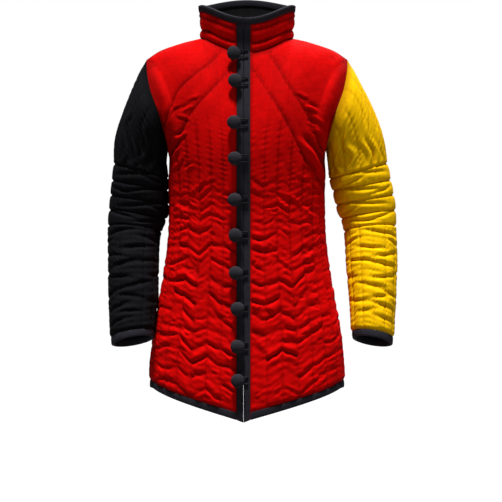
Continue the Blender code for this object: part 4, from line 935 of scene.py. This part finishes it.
def sleeveGrid(side, front, rear):  # the plain shaped surface, each row's height, and the normals
    count = sleeve["channels"] * sleeve["stepsPerChannel"]
    angles = 2 * np.pi * np.arange(count) / count
    start = armholeLine(side, angles)
    firstHeight = rings["height"][-1]
    end, after = ringPoints(side, [firstHeight, firstHeight - 0.02], angles)
    length = np.linalg.norm(end - start, axis=1, keepdims=True)
    ahead = angles <= np.pi
    turn = np.where(ahead, angles / np.pi, 2 - angles / np.pi)
    table = np.array(leaves)
    lower = np.where(turn < 0.5, 0, 1)
    pull = mix(table[lower], table[lower + 1], smooth(2 * turn - lower)[:, None])
    toFront = np.where(ahead, -1.0, 1.0)
    direction = unit(np.stack([side * pull[:, 0], pull[:, 1] * toFront, -pull[:, 2]], -1)) * pull[:, 3:]
    t = np.linspace(0, 1, sleeve["capRows"] + 1)[:, None, None]
    cap = hermite(start, direction * length, end, unit(after - end) * length, t)
    heights = np.concatenate([np.linspace(firstHeight, cuffTapeTop, sleeve["rows"])[1:],
                              np.linspace(cuffTapeTop, sleeve["cuff"], 5)[1:]])
    grid = np.concatenate([cap, ringPoints(side, heights, angles)])
    levels = np.concatenate([np.full(len(cap), 0.0), heights])[:, None]  # 0 for the cap's rows
    normals = normalsOf(grid, grid.mean(1, keepdims=True), closed=True, calm=6)

    def fromBody(part):  # the armhole seam's own directions, from the body's edge
        shares = np.linspace(0, 1, len(front["holeEdge"][0]))
        edges = [between(turn, shares, half["holeEdge"][part]) for half in (front, rear)]
        return np.where(ahead[:, None], *edges)

    mitre, across = fromBody(0), fromBody(1)
    for row in range(5):
        normals[row] = unit(mix(mitre, normals[row], row / 5))
    grid[0] += across * cloth["seamHalf"]
    return grid, levels, normals, angles


def sleeveRow(levels, height):  # the row nearest to a height, below the cap
    return int(np.argmin(np.abs(levels[:, 0] - height) + 9.0 * (levels[:, 0] == 0.0)))


def sleeveQuilting(run, levels, around, pads, seed):  # upright channels, and level bands at the elbow
    line, inCap = cloth["line"], levels == 0.0
    phase = around / (2 * np.pi) * sleeve["channels"]
    share, nearLine = phase % 1.0, np.round(phase).astype(int)
    fromLine = np.abs(phase - nearLine)
    channel = mix(cloth["relief"], pads, pillow(share, 3.0))
    dimple = bell(fromLine * sleeve["channelWidth"], body["stitchHalf"])
    channel = mix(channel, cloth["stitched"], 0.4 * dimple)
    channel = channel + puckers(fromLine, nearLine % sleeve["channels"], run, seed + 20)
    fromTop = np.where(inCap, -1.0, (sleeve["elbowTop"] - levels) / sleeve["band"])
    inBand = (fromTop >= 0) & (fromTop <= sleeve["bands"])
    bandLine = np.broadcast_to(np.round(fromTop), run.shape).astype(int)
    fromBandLine = np.broadcast_to(np.abs(fromTop - np.round(fromTop)), run.shape)
    bandPucker = puckers(fromBandLine, bandLine, around * sleeve["girth"], seed + 60)
    band = mix(cloth["relief"], pads, pillow(fromTop % 1.0, 2.2)) + bandPucker
    result = np.where(inBand, band, channel)
    for number in range(sleeve["bands"] + 1):
        away = levels - (sleeve["elbowTop"] - number * sleeve["band"])
        press = np.where(inCap, 0.0, sleeve["bandPress"] * bell(away, sleeve["bandLine"]))
        result = mix(result, line, press)
    return result


def crumpled(result, levels, around, draw, seed):  # each crumple has a swelling above and below
    degrees = np.degrees(around)
    for level, middle, span, tilt, depth, width in crumples + elbowFolds:
        middle = middle + draw.uniform(-crumpleSize["turn"], crumpleSize["turn"])
        aside = (degrees - middle + 180) % 360 - 180
        reach = smooth(1.0 - np.abs(aside) / span) * (0.6 + 0.4 * np.abs(np.sin(around)))
        away = levels - level - draw.uniform(-crumpleSize["rise"], crumpleSize["rise"])
        away = away - crumpleSize["tilt"] * tilt * aside / 60 - crumpleSize["waver"] * waves(aside, seed, 70)
        width = width * draw.uniform(*crumpleSize["slimness"])
        result = result - crumpleSize["depth"] * depth * bell(away, width) * reach
        swell = bell(away + 2.2 * width, 1.6 * width) + bell(away - 2.2 * width, 1.6 * width)
        result = result + crumpleSize["swell"] * depth * swell * reach
    return result


def standingFolds(result, run, levels, around, draw):  # long and wavy, on the upper arm
    degrees = np.degrees(around)
    upper = np.where(levels == 0.0, 1.0, np.clip((levels - sleeve["elbowTop"]) / 0.012, 0, 1))
    length = run / run[sleeveRow(levels, sleeve["elbowTop"])]
    for middle, start, end, sway, depth, width in armFolds:
        middle = middle + draw.uniform(-armFoldSize["turn"], armFoldSize["turn"])
        middle = middle + sway * np.sin(2 * np.pi * (length * armFoldSize["swing"] + draw.uniform(0, 1)))
        aside = ((degrees - middle + 180) % 360 - 180) * math.radians(armFoldSize["girth"])
        reach = smooth((length - start) / armFoldSize["start"])
        reach = reach * smooth((end - length) / armFoldSize["end"]) * upper
        away = armFoldSize["hollowAway"] * width
        fold = bell(aside, width) - 0.7 * bell(aside - away, 0.8 * width) - 0.5 * bell(aside + away, width)
        result = result + depth * fold * reach
    return result


def sleeveHeights(run, levels, angles, seed):  # the outer cloth's height over the shaped surface
    line, pad, inCap = cloth["line"], sleeve["pad"], levels == 0.0
    around = np.broadcast_to(angles, run.shape)
    arc = around * sleeve["girth"]
    strip = np.floor(around / (2 * np.pi) * sleeve["channels"])
    pads = pad * (1 + sleeve["padSwing"] * waves(run + strip * 0.4, seed, 0.12))
    result = sleeveQuilting(run, levels, around, pads, seed)
    draw = np.random.default_rng(seed + 70)
    result = crumpled(result, levels, around, draw, seed)
    # ripples on the forearm
    ripple = levels + 0.004 * waves(arc, seed + 12, 0.06) + 0.01 * waves(arc, seed + 13, 0.16)
    patchy = 0.45 + 1.8 * waves(levels + arc * 0.4, seed + 14, 0.05) * waves(arc - levels, seed + 15, 0.05)
    below = np.where(inCap, 0.0, smooth((elbowEnd - levels) / 0.01))
    outline = 0.55 + 0.45 * np.abs(np.sin(around))
    wave = np.sin(2 * np.pi * (ripple / sleeve["ripple"]))
    result = result + sleeve["rippleDepth"] * wave * patchy * below * outline
    result = standingFolds(result, run, levels, around, draw)
    result = result + (sleeve["unevenness"] * waves(run - arc * 1.4, seed + 9, 0.030)
                       * waves(arc + run * 0.3, seed + 4, 0.05))
    # flat at the armhole and under the cuff's tape
    result = np.where(inCap, mix(line, result, smooth(run / sleeve["taper"])), result)
    result = np.where(inCap, result, mix(line, result, smooth((levels - cuffTapeTop + 0.002) / 0.010)))
    result = np.maximum(result, line - sleeve["lowest"])
    return result, grooveOf(result, pad)


def sleevePiece(name, side, front, rear, node, materials, seed):
    grid, levels, normals, angles = sleeveGrid(side, front, rear)
    height, groove = sleeveHeights(runOn(grid), levels, angles, seed)
    outer, inner = grid + normals * height[..., None], grid - normals * cloth["lining"]
    piece = Piece(name)
    wall(piece, outer, inner, groove, closed=True)
    level = levels[:, 0]
    upperArm = (level == 0.0) | (level > sleeve["elbowTop"])
    forearm = (level < elbowEnd) & (level > cuffTapeTop)
    for number in range(sleeve["channels"]):
        k = number * sleeve["stepsPerChannel"]
        for part in (upperArm, forearm):
            rows = np.nonzero(part)[0][4:-2]
            addThreads(piece, outer[rows, k], normals[rows, k])
    for number in range(sleeve["bands"] + 1):
        row = sleeveRow(levels, sleeve["elbowTop"] - number * sleeve["band"])
        addThreads(piece, *[np.concatenate([part[row], part[row, :1]]) for part in (outer, normals)])
    return piece.make(materials, node), (outer, inner)


sleeveRight, rightEdge = sleevePiece("sleeveRight", -1, rightFront, rightBack, "sleeve_right",
                                     blackCloth, 21)
sleeveLeft, leftEdge = sleevePiece("sleeveLeft", 1, leftFront, leftBack, "sleeve_left",
                                   yellowCloth, 45)
print("sleeves made")


# The standing collar

collarSize = {
    "side": 0.069, "front": 0.070, "back": 0.085, "waist": 0.0020, "flare": 0.0050, "forward": 0.0060,
    "lines": (0.27, 0.66), "pad": 0.0058, "topPad": 0.0036, "rows": 28,
    "wrinkle": 0.013, "wrinkleDepth": 0.0006, "wrinkleReach": 0.10, "wrinkleClear": 0.03,
    "unevenness": 0.0008, "endTaper": 0.008, "lowest": 0.0005,
}


def collarGrid():  # the shaped surface, each point's share of the way up, the normals and the neck's seam
    def joined(part):
        return np.concatenate([rightFront["neckEdge"][part], rightBack["neckEdge"][part][-2::-1],
                               leftBack["neckEdge"][part][1:], leftFront["neckEdge"][part][-2::-1]])

    mitre, across, seam = joined(0), joined(1), joined(2)
    facing = -seam[:, 1] / np.hypot(seam[:, 0], seam[:, 1])
    tall = collarSize["side"] + (collarSize["front"] - collarSize["side"]) * np.maximum(0, facing) ** 1.5
    tall = tall + (collarSize["back"] - collarSize["side"]) * np.maximum(0, -facing) ** 1.5
    tapeLine = 1.0 - tapeSize["width"] / tall
    levels = np.concatenate([np.outer(np.linspace(0, 1, collarSize["rows"] - 3), tapeLine),
                             [mix(tapeLine, 1.0, s / 4) for s in range(1, 5)]])
    out = unit(seam * (1, 1, 0))
    place = levels[..., None]
    curve = collarSize["flare"] * place**2 - collarSize["waist"] * np.sin(np.pi * np.minimum(1, place * 1.6))
    grid = seam + out * curve + np.array((0, -collarSize["forward"], 0)) * place
    grid = grid + np.array((0, 0, 1.0)) * tall[:, None] * place
    normals = normalsOf(grid, grid * (0, 0, 1))
    normals[0] = mitre
    grid[0] = seam + across * cloth["seamHalf"]
    return grid, levels, normals, seam, tapeLine


def collarHeights(levels, seam, tapeLine):
    line, pad = cloth["line"], collarSize["pad"]
    first, second = collarSize["lines"]
    height = np.full(levels.shape, line)
    for low, high, fill in ((0.0, first, pad), (first, second, pad), (second, 1.0, collarSize["topPad"])):
        top = np.minimum(high, tapeLine)[None, :]
        share = np.clip((levels - low) / (top - low), 0, 1)
        height = np.maximum(height, mix(line, fill, pillow(share, 2.0)) * ((levels >= low) & (levels <= top)))
    run = np.broadcast_to(lengthsOf(seam), levels.shape)
    for number, quilt in enumerate((first, second)):
        aside = np.abs(levels - quilt)
        wrinkle = np.sin(2 * np.pi * run / collarSize["wrinkle"] + 1.5 * waves(run, 400 + number, 0.06))
        height = height + (collarSize["wrinkleDepth"] * wrinkle * bell(aside, collarSize["wrinkleReach"])
                           * smooth(aside / collarSize["wrinkleClear"]))
    height = height + collarSize["unevenness"] * waves(run + levels * 0.05, 410, 0.05)
    fromEnd = np.minimum(run, run[:, -1:] - run) - tapeSize["width"] * 0.9
    height = np.maximum(height, line - collarSize["lowest"])
    height = mix(line, height, smooth(fromEnd / collarSize["endTaper"]))
    height = np.where(levels >= tapeLine - 1e-6, line, height)
    height[0] = line
    return height, grooveOf(height, pad)


def collarPiece():
    grid, levels, normals, seam, tapeLine = collarGrid()
    height, groove = collarHeights(levels, seam, tapeLine)
    outer, inner = grid + normals * height[..., None], grid - normals * cloth["lining"]
    piece = Piece("standingCollar")
    wall(piece, outer, inner, groove)
    for quilt in collarSize["lines"]:
        row = int(np.argmin(np.abs(levels[:, len(seam) // 4] - quilt)))
        addThreads(piece, outer[row, 6:-6], normals[row, 6:-6])
    return piece.make(redCloth, "collar"), outer, inner


collar, collarOuter, collarInner = collarPiece()
print("collar made")


# Bindings: a tape folded round an edge, stitched down near its edge on the outside

tapeProfile = {  # share of the way from the tape's edge to the fold, and height in tape thicknesses
    "share": (0.0, 0.0, 0.05, 0.14, 0.22, 0.40, 0.70, 1.0),
    "height": (0.0, 0.55, 0.95, 0.78, 1.02, 1.16, 1.12, 1.02),
}


def bindEdge(name, node, far, near, innerNear, innerFar, carriers, seed, closed=False):
    # far to innerFar: lines on the cloth, from the tape's outer edge round the cloth's own to its inner edge
    gap, thick = tapeSize["gap"], tapeSize["thickness"]
    out = unit(near - far)
    through = near - innerNear
    half = np.linalg.norm(through, axis=1, keepdims=True) / 2 + gap + thick * 1.02
    through = unit(through - out * np.sum(through * out, 1, keepdims=True))
    far, innerFar = mix(far, near, tapeSize["shy"]), mix(innerFar, innerNear, tapeSize["shy"])
    run = lengthsOf(near)
    ripple = 1.0 + tapeSize["ripple"] * waves(run, seed, 0.018)[:, None]
    profile = []
    for share, height in zip(tapeProfile["share"], tapeProfile["height"]):
        lift = gap + thick * height * (ripple if 0.2 < share < 1 else 1)
        profile.append(mix(far, near, share) + through * lift)
    middle = (near + innerNear) / 2
    for angle in np.radians((60, 30, 0, -30, -60)):
        reach = (gap + thick + tapeSize["fold"]) * math.cos(angle) ** 0.6
        profile.append(middle + through * half * math.sin(angle) + out * reach)
    for share, height in reversed(list(zip(tapeProfile["share"], tapeProfile["height"]))):
        profile.append(mix(innerFar, innerNear, share) - through * (gap + thick * height))
    profile.append(mix(innerFar, innerNear, 0.5) - through * gap)
    profile.append(innerNear + (out - through) * gap)
    profile.append(near + (out + through) * gap)
    profile.append(mix(far, near, 0.5) + through * gap)
    rails = np.stack(profile, 1)
    piece = Piece(name)
    if closed:
        ids = piece.grid(np.transpose(rails, (1, 0, 2)), 0.1, closed=True).T
        after = np.roll(ids, -1, 0)
        piece.cover(np.stack([ids[:, 0], after[:, 0], after[:, -1], ids[:, -1]], 1).tolist())
    else:
        piece.tube(rails)
    stitchLine = mix(far, near, 0.14) + through * (gap + thick * 0.8)
    if closed:
        stitchLine = np.concatenate([stitchLine, stitchLine[:1]])
        through = np.concatenate([through, through[:1]])
    addThreads(piece, stitchLine, through, "tape")
    item = piece.make([twillTape, blackThread], node, 70)
    return item


def frontBinding(name, node, half, edge, line, seed):
    def up(grid, collarGrid, collarColumn, k):
        return np.concatenate([grid[:, k], collarGrid[1:-4, collarColumn]])

    step = cloth["stepsPerColumn"]
    foot = unit(half["outer"][0, step] - half["outer"][3, step]) * (tapeSize["gap"] + tapeSize["thickness"])
    outerLine = [up(half["outer"], collarOuter, line, step), up(half["outer"], collarOuter, edge, 0)]
    innerLine = [up(half["inner"], collarInner, edge, 0), up(half["inner"], collarInner, line, step)]
    for points in outerLine + innerLine:
        points[0] += foot
    return bindEdge(name, node, *outerLine, *innerLine, [node.replace("_binding", ""), "collar"], seed)


frontBindingRight = frontBinding("frontBindingRight", "front_binding_right", rightFront, 0, 6, 501)
frontBindingLeft = frontBinding("frontBindingLeft", "front_binding_left", leftFront, -1, -7, 502)


def hemLine(key, row):
    step = cloth["stepsPerColumn"]
    right, left = rightFront[key][row, step:], leftFront[key][row, step:][::-1]
    rightRear, leftRear = rightBack[key][row, ::-1], leftBack[key][row]
    joinRight, joinLeft = (right[-1:] + rightRear[:1]) / 2, (leftRear[-1:] + left[:1]) / 2
    return np.concatenate([right[:-1], joinRight, rightRear[1:], leftRear[1:-1], joinLeft, left[1:]])


bindEdge("hemBinding", "hem_binding", hemLine("outer", 4), hemLine("outer", 0), hemLine("inner", 0),
         hemLine("inner", 4), ["front_right", "back", "front_left"], 503)


def collarLine(grid, row):
    line = grid[row].copy()
    reach = tapeSize["gap"] + tapeSize["thickness"]
    line[0] += unit(line[0] - line[1]) * reach
    line[-1] += unit(line[-1] - line[-2]) * reach
    return line


bindEdge("collarBinding", "collar_binding", collarLine(collarOuter, -5), collarLine(collarOuter, -1),
         collarLine(collarInner, -1), collarLine(collarInner, -5), ["collar"], 504)
for name, node, (outer, inner), seed in (("cuffBindingRight", "cuff_binding_right", rightEdge, 505),
                                         ("cuffBindingLeft", "cuff_binding_left", leftEdge, 506)):
    carriers = [node.replace("cuff_binding", "sleeve")]
    bindEdge(name, node, outer[-5], outer[-1], inner[-1], inner[-5], carriers, seed, closed=True)
print("bindings made")


# Buttons of gathered cloth over a ball of stuffing, and the cord loops that hold them

button = {"ball": 0.0145, "depth": 0.0148, "neck": 0.0036, "waist": 0.94, "segments": 40, "rings": 22,
          "pleats": 9, "pleatDepth": 0.0005, "pleatsInFront": 0.25, "lumps": (0.0004, 0.0003)}
loop = {"radius": 0.0015, "clearance": 1.3, "strands": 2, "twist": 0.0085, "waist": 0.86, "swell": 0.16,
        "half": 0.0072, "squeeze": 0.93, "right": 0.0100, "sides": 14}


def treeOf(item):
    return BVHTree.FromPolygons([v.co for v in item.data.vertices], [p.vertices for p in item.data.polygons])


trees = [treeOf(item) for item in (frontRight, frontLeft, collar, frontBindingRight, frontBindingLeft)]


def foremost(across, height, radius):  # the depth of whatever lies in front within a radius
    depths = []
    for turn in range(9):
        x = across + (radius * math.cos(turn * math.pi / 4) if turn else 0.0)
        z = height + (radius * math.sin(turn * math.pi / 4) if turn else 0.0)
        for tree in trees:
            hit = tree.ray_cast(Vector((x, -1.0, z)), Vector((0.0, 1.0, 0.0)))[0]
            if hit is not None:
                depths.append(hit.y)
    return min(depths)


def buttonPiece(number):
    node = f"button_{number:02d}"
    low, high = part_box(node)
    middleX, middleZ = (low[0] + high[0]) / 2, (low[2] + high[2]) / 2
    front, rear = low[1], high[1]
    phase = np.random.default_rng(600 + number).uniform(0, 6.28)
    halfDepth = button["depth"] / 2
    ballMiddle = front + halfDepth
    sides, count = button["segments"], button["rings"]
    angles = 2 * np.pi * np.arange(sides) / sides
    neck = button["neck"]
    rows = [(neck, rear), (neck * button["waist"], mix(rear, ballMiddle + halfDepth, 0.6))]
    for step in range(count):
        tilt = math.pi * (0.08 + 0.92 * step / (count - 1)) - math.pi / 2
        rows.append((max(button["ball"] * math.cos(tilt), 0.0004), ballMiddle - halfDepth * math.sin(tilt)))
    wide, narrow = button["lumps"]
    grid = []
    for index, (radius, depth) in enumerate(rows):
        share = min(1.0, radius / button["ball"])
        behind = 1.0 if depth > ballMiddle else button["pleatsInFront"]
        pleat = button["pleatDepth"] * behind * np.sin(button["pleats"] * angles + phase) * share
        lump = wide * np.sin(2 * angles + phase * 2) * share
        lump = lump + narrow * np.sin(3 * angles + index * 0.3 + phase) * share
        r = radius + pleat + lump
        ring = [middleX + r * np.cos(angles), np.full(sides, depth), middleZ + r * np.sin(angles)]
        grid.append(np.stack(ring, -1))
    piece = Piece(f"clothButton{number:02d}")
    piece.tube(np.array(grid))
    piece.make([buttonCloth], node, 60)


def loopPiece(number, across, height):
    right = opening["x"] + loop["right"]
    half, radius = loop["half"], loop["radius"]
    flat = [(right, half), ((right + across) / 2, half)]
    for step in range(5):
        angle = math.pi / 2 + math.pi * step / 4
        size = half if step in (0, 4) else half * loop["squeeze"]
        flat.append((across + size * math.cos(angle), size * math.sin(angle)))
    flat += [((right + across) / 2, -half), (right, -half)]
    depths = [foremost(x, height + z, radius * loop["clearance"]) for x, z in flat]
    calm = [min(depths[max(0, i - 1):i + 2]) for i in range(len(depths))]
    path = spline([(x, d - tapeSize["gap"] - radius, height + z) for (x, z), d in zip(flat, calm)], 10)
    ahead = unit(np.gradient(path, axis=0))
    front = unit(np.array((0.0, -1.0, 0.0)) - ahead * -ahead[:, 1:2])
    aside = np.cross(ahead, front)
    angles = 2 * np.pi * np.arange(loop["sides"]) / loop["sides"]
    turned = angles[None, :] + 2 * np.pi * lengthsOf(path)[:, None] / loop["twist"]
    size = radius * (loop["waist"] + loop["swell"] * np.abs(np.cos(turned * loop["strands"] / 2)))
    cosine, sine = np.cos(angles)[None, :, None], np.sin(angles)[None, :, None]
    grid = path[:, None] + (front[:, None] * cosine + aside[:, None] * sine) * size[..., None]
    piece = Piece(f"cordLoop{number:02d}")
    piece.tube(grid)
    piece.make([cottonCord], f"loop_{number:02d}", 80)


# Where each button's neck stands, across and up
buttonPlaces = [(-0.0278, -0.043), (-0.0250, -0.102), (-0.0268, -0.190), (-0.0250, -0.265), (-0.0258, -0.350),
                (-0.0240, -0.424), (-0.0232, -0.502), (-0.0200, -0.576), (-0.0198, -0.654), (-0.0190, -0.724)]
for number, place in enumerate(buttonPlaces, start=1):
    buttonPiece(number)
    loopPiece(number, *place)
print("buttons and loops made")


# Floor, light and camera

studio = {
    "floor": -1.45, "floorSize": 12.0, "floorTones": ("6a6a6a", "c6c6c6"), "ambient": 0.08,
    "key": ((-0.03, -0.21, 1.0), 9, 6.1),  # where from, its spread in degrees, and strength
    "fill": ((2.4, -2.6, 0.6), (0, 0, -0.4), 1.8, 6),  # where from and to, its size, and watts
    "back": ((0.7, 2.2, 2.4), (0, 0, -0.35), 1.0, 75),
    "camera": (0.0086, -3.6, -0.413), "lens": 120.0, "sensor": 36.0, "shift": -0.0417,
}


def floorPiece():
    size, height = studio["floorSize"], studio["floor"]
    mesh = bpy.data.meshes.new("floor")
    corners = [(-size, -size, height), (size, -size, height), (size, size, height), (-size, size, height)]
    mesh.from_pydata(corners, [], [(0, 1, 2, 3)])
    # Painted board with no gloss, pale to see, yet it doesn't wash out the folds from below
    material = bpy.data.materials.new("pale matte floor")
    material.use_nodes = True
    tree = material.node_tree
    shader = tree.nodes["Principled BSDF"]
    seen = addNode(tree, "LightPath").outputs["Is Camera Ray"]
    dark, pale = [srgb(tone) for tone in studio["floorTones"]]
    tone = addNode(tree, "Mix", {"Factor": seen, 6: dark, 7: pale}, data_type="RGBA")
    tree.links.new(tone.outputs[2], shader.inputs["Base Color"])
    shader.inputs["Roughness"].default_value = 0.9
    mesh.materials.append(material)
    addObject("floor", mesh)


def areaLight(name, place, target, size, power):
    data = bpy.data.lights.new(name, "AREA")
    data.shape, data.size, data.energy = "DISK", size, power
    item = addObject(name, data)
    item.location = place
    item.rotation_euler = (Vector(target) - Vector(place)).to_track_quat("-Z", "Y").to_euler()


def sunLight(name, place, spread, power):  # soft and even, over the floor too
    data = bpy.data.lights.new(name, "SUN")
    data.angle, data.energy = math.radians(spread), power
    addObject(name, data).rotation_euler = Vector(place).to_track_quat("Z", "Y").to_euler()


floorPiece()
sunLight("keyLight", *studio["key"])
areaLight("fillLight", *studio["fill"])
areaLight("backLight", *studio["back"])
# The backdrop shows white, and lights the cloth only softly
world = bpy.data.worlds.new("studio")
world.use_nodes = True
tree = world.node_tree
seen = addNode(tree, "LightPath").outputs["Is Camera Ray"]
power = addNode(tree, "MapRange", {0: seen, 3: studio["ambient"], 4: 1.0})
tree.nodes["Background"].inputs[0].default_value = (1.0, 1.0, 1.0, 1.0)
tree.links.new(power.outputs[0], tree.nodes["Background"].inputs[1])
bpy.context.scene.world = world
camera = bpy.data.cameras.new("camera")
camera.lens, camera.sensor_width, camera.shift_y = studio["lens"], studio["sensor"], studio["shift"]
cameraItem = addObject("camera", camera)
cameraItem.location = studio["camera"]
cameraItem.rotation_euler = (math.radians(90), 0.0, 0.0)
bpy.context.scene.camera = cameraItem
bpy.context.scene.view_settings.view_transform = "Standard"
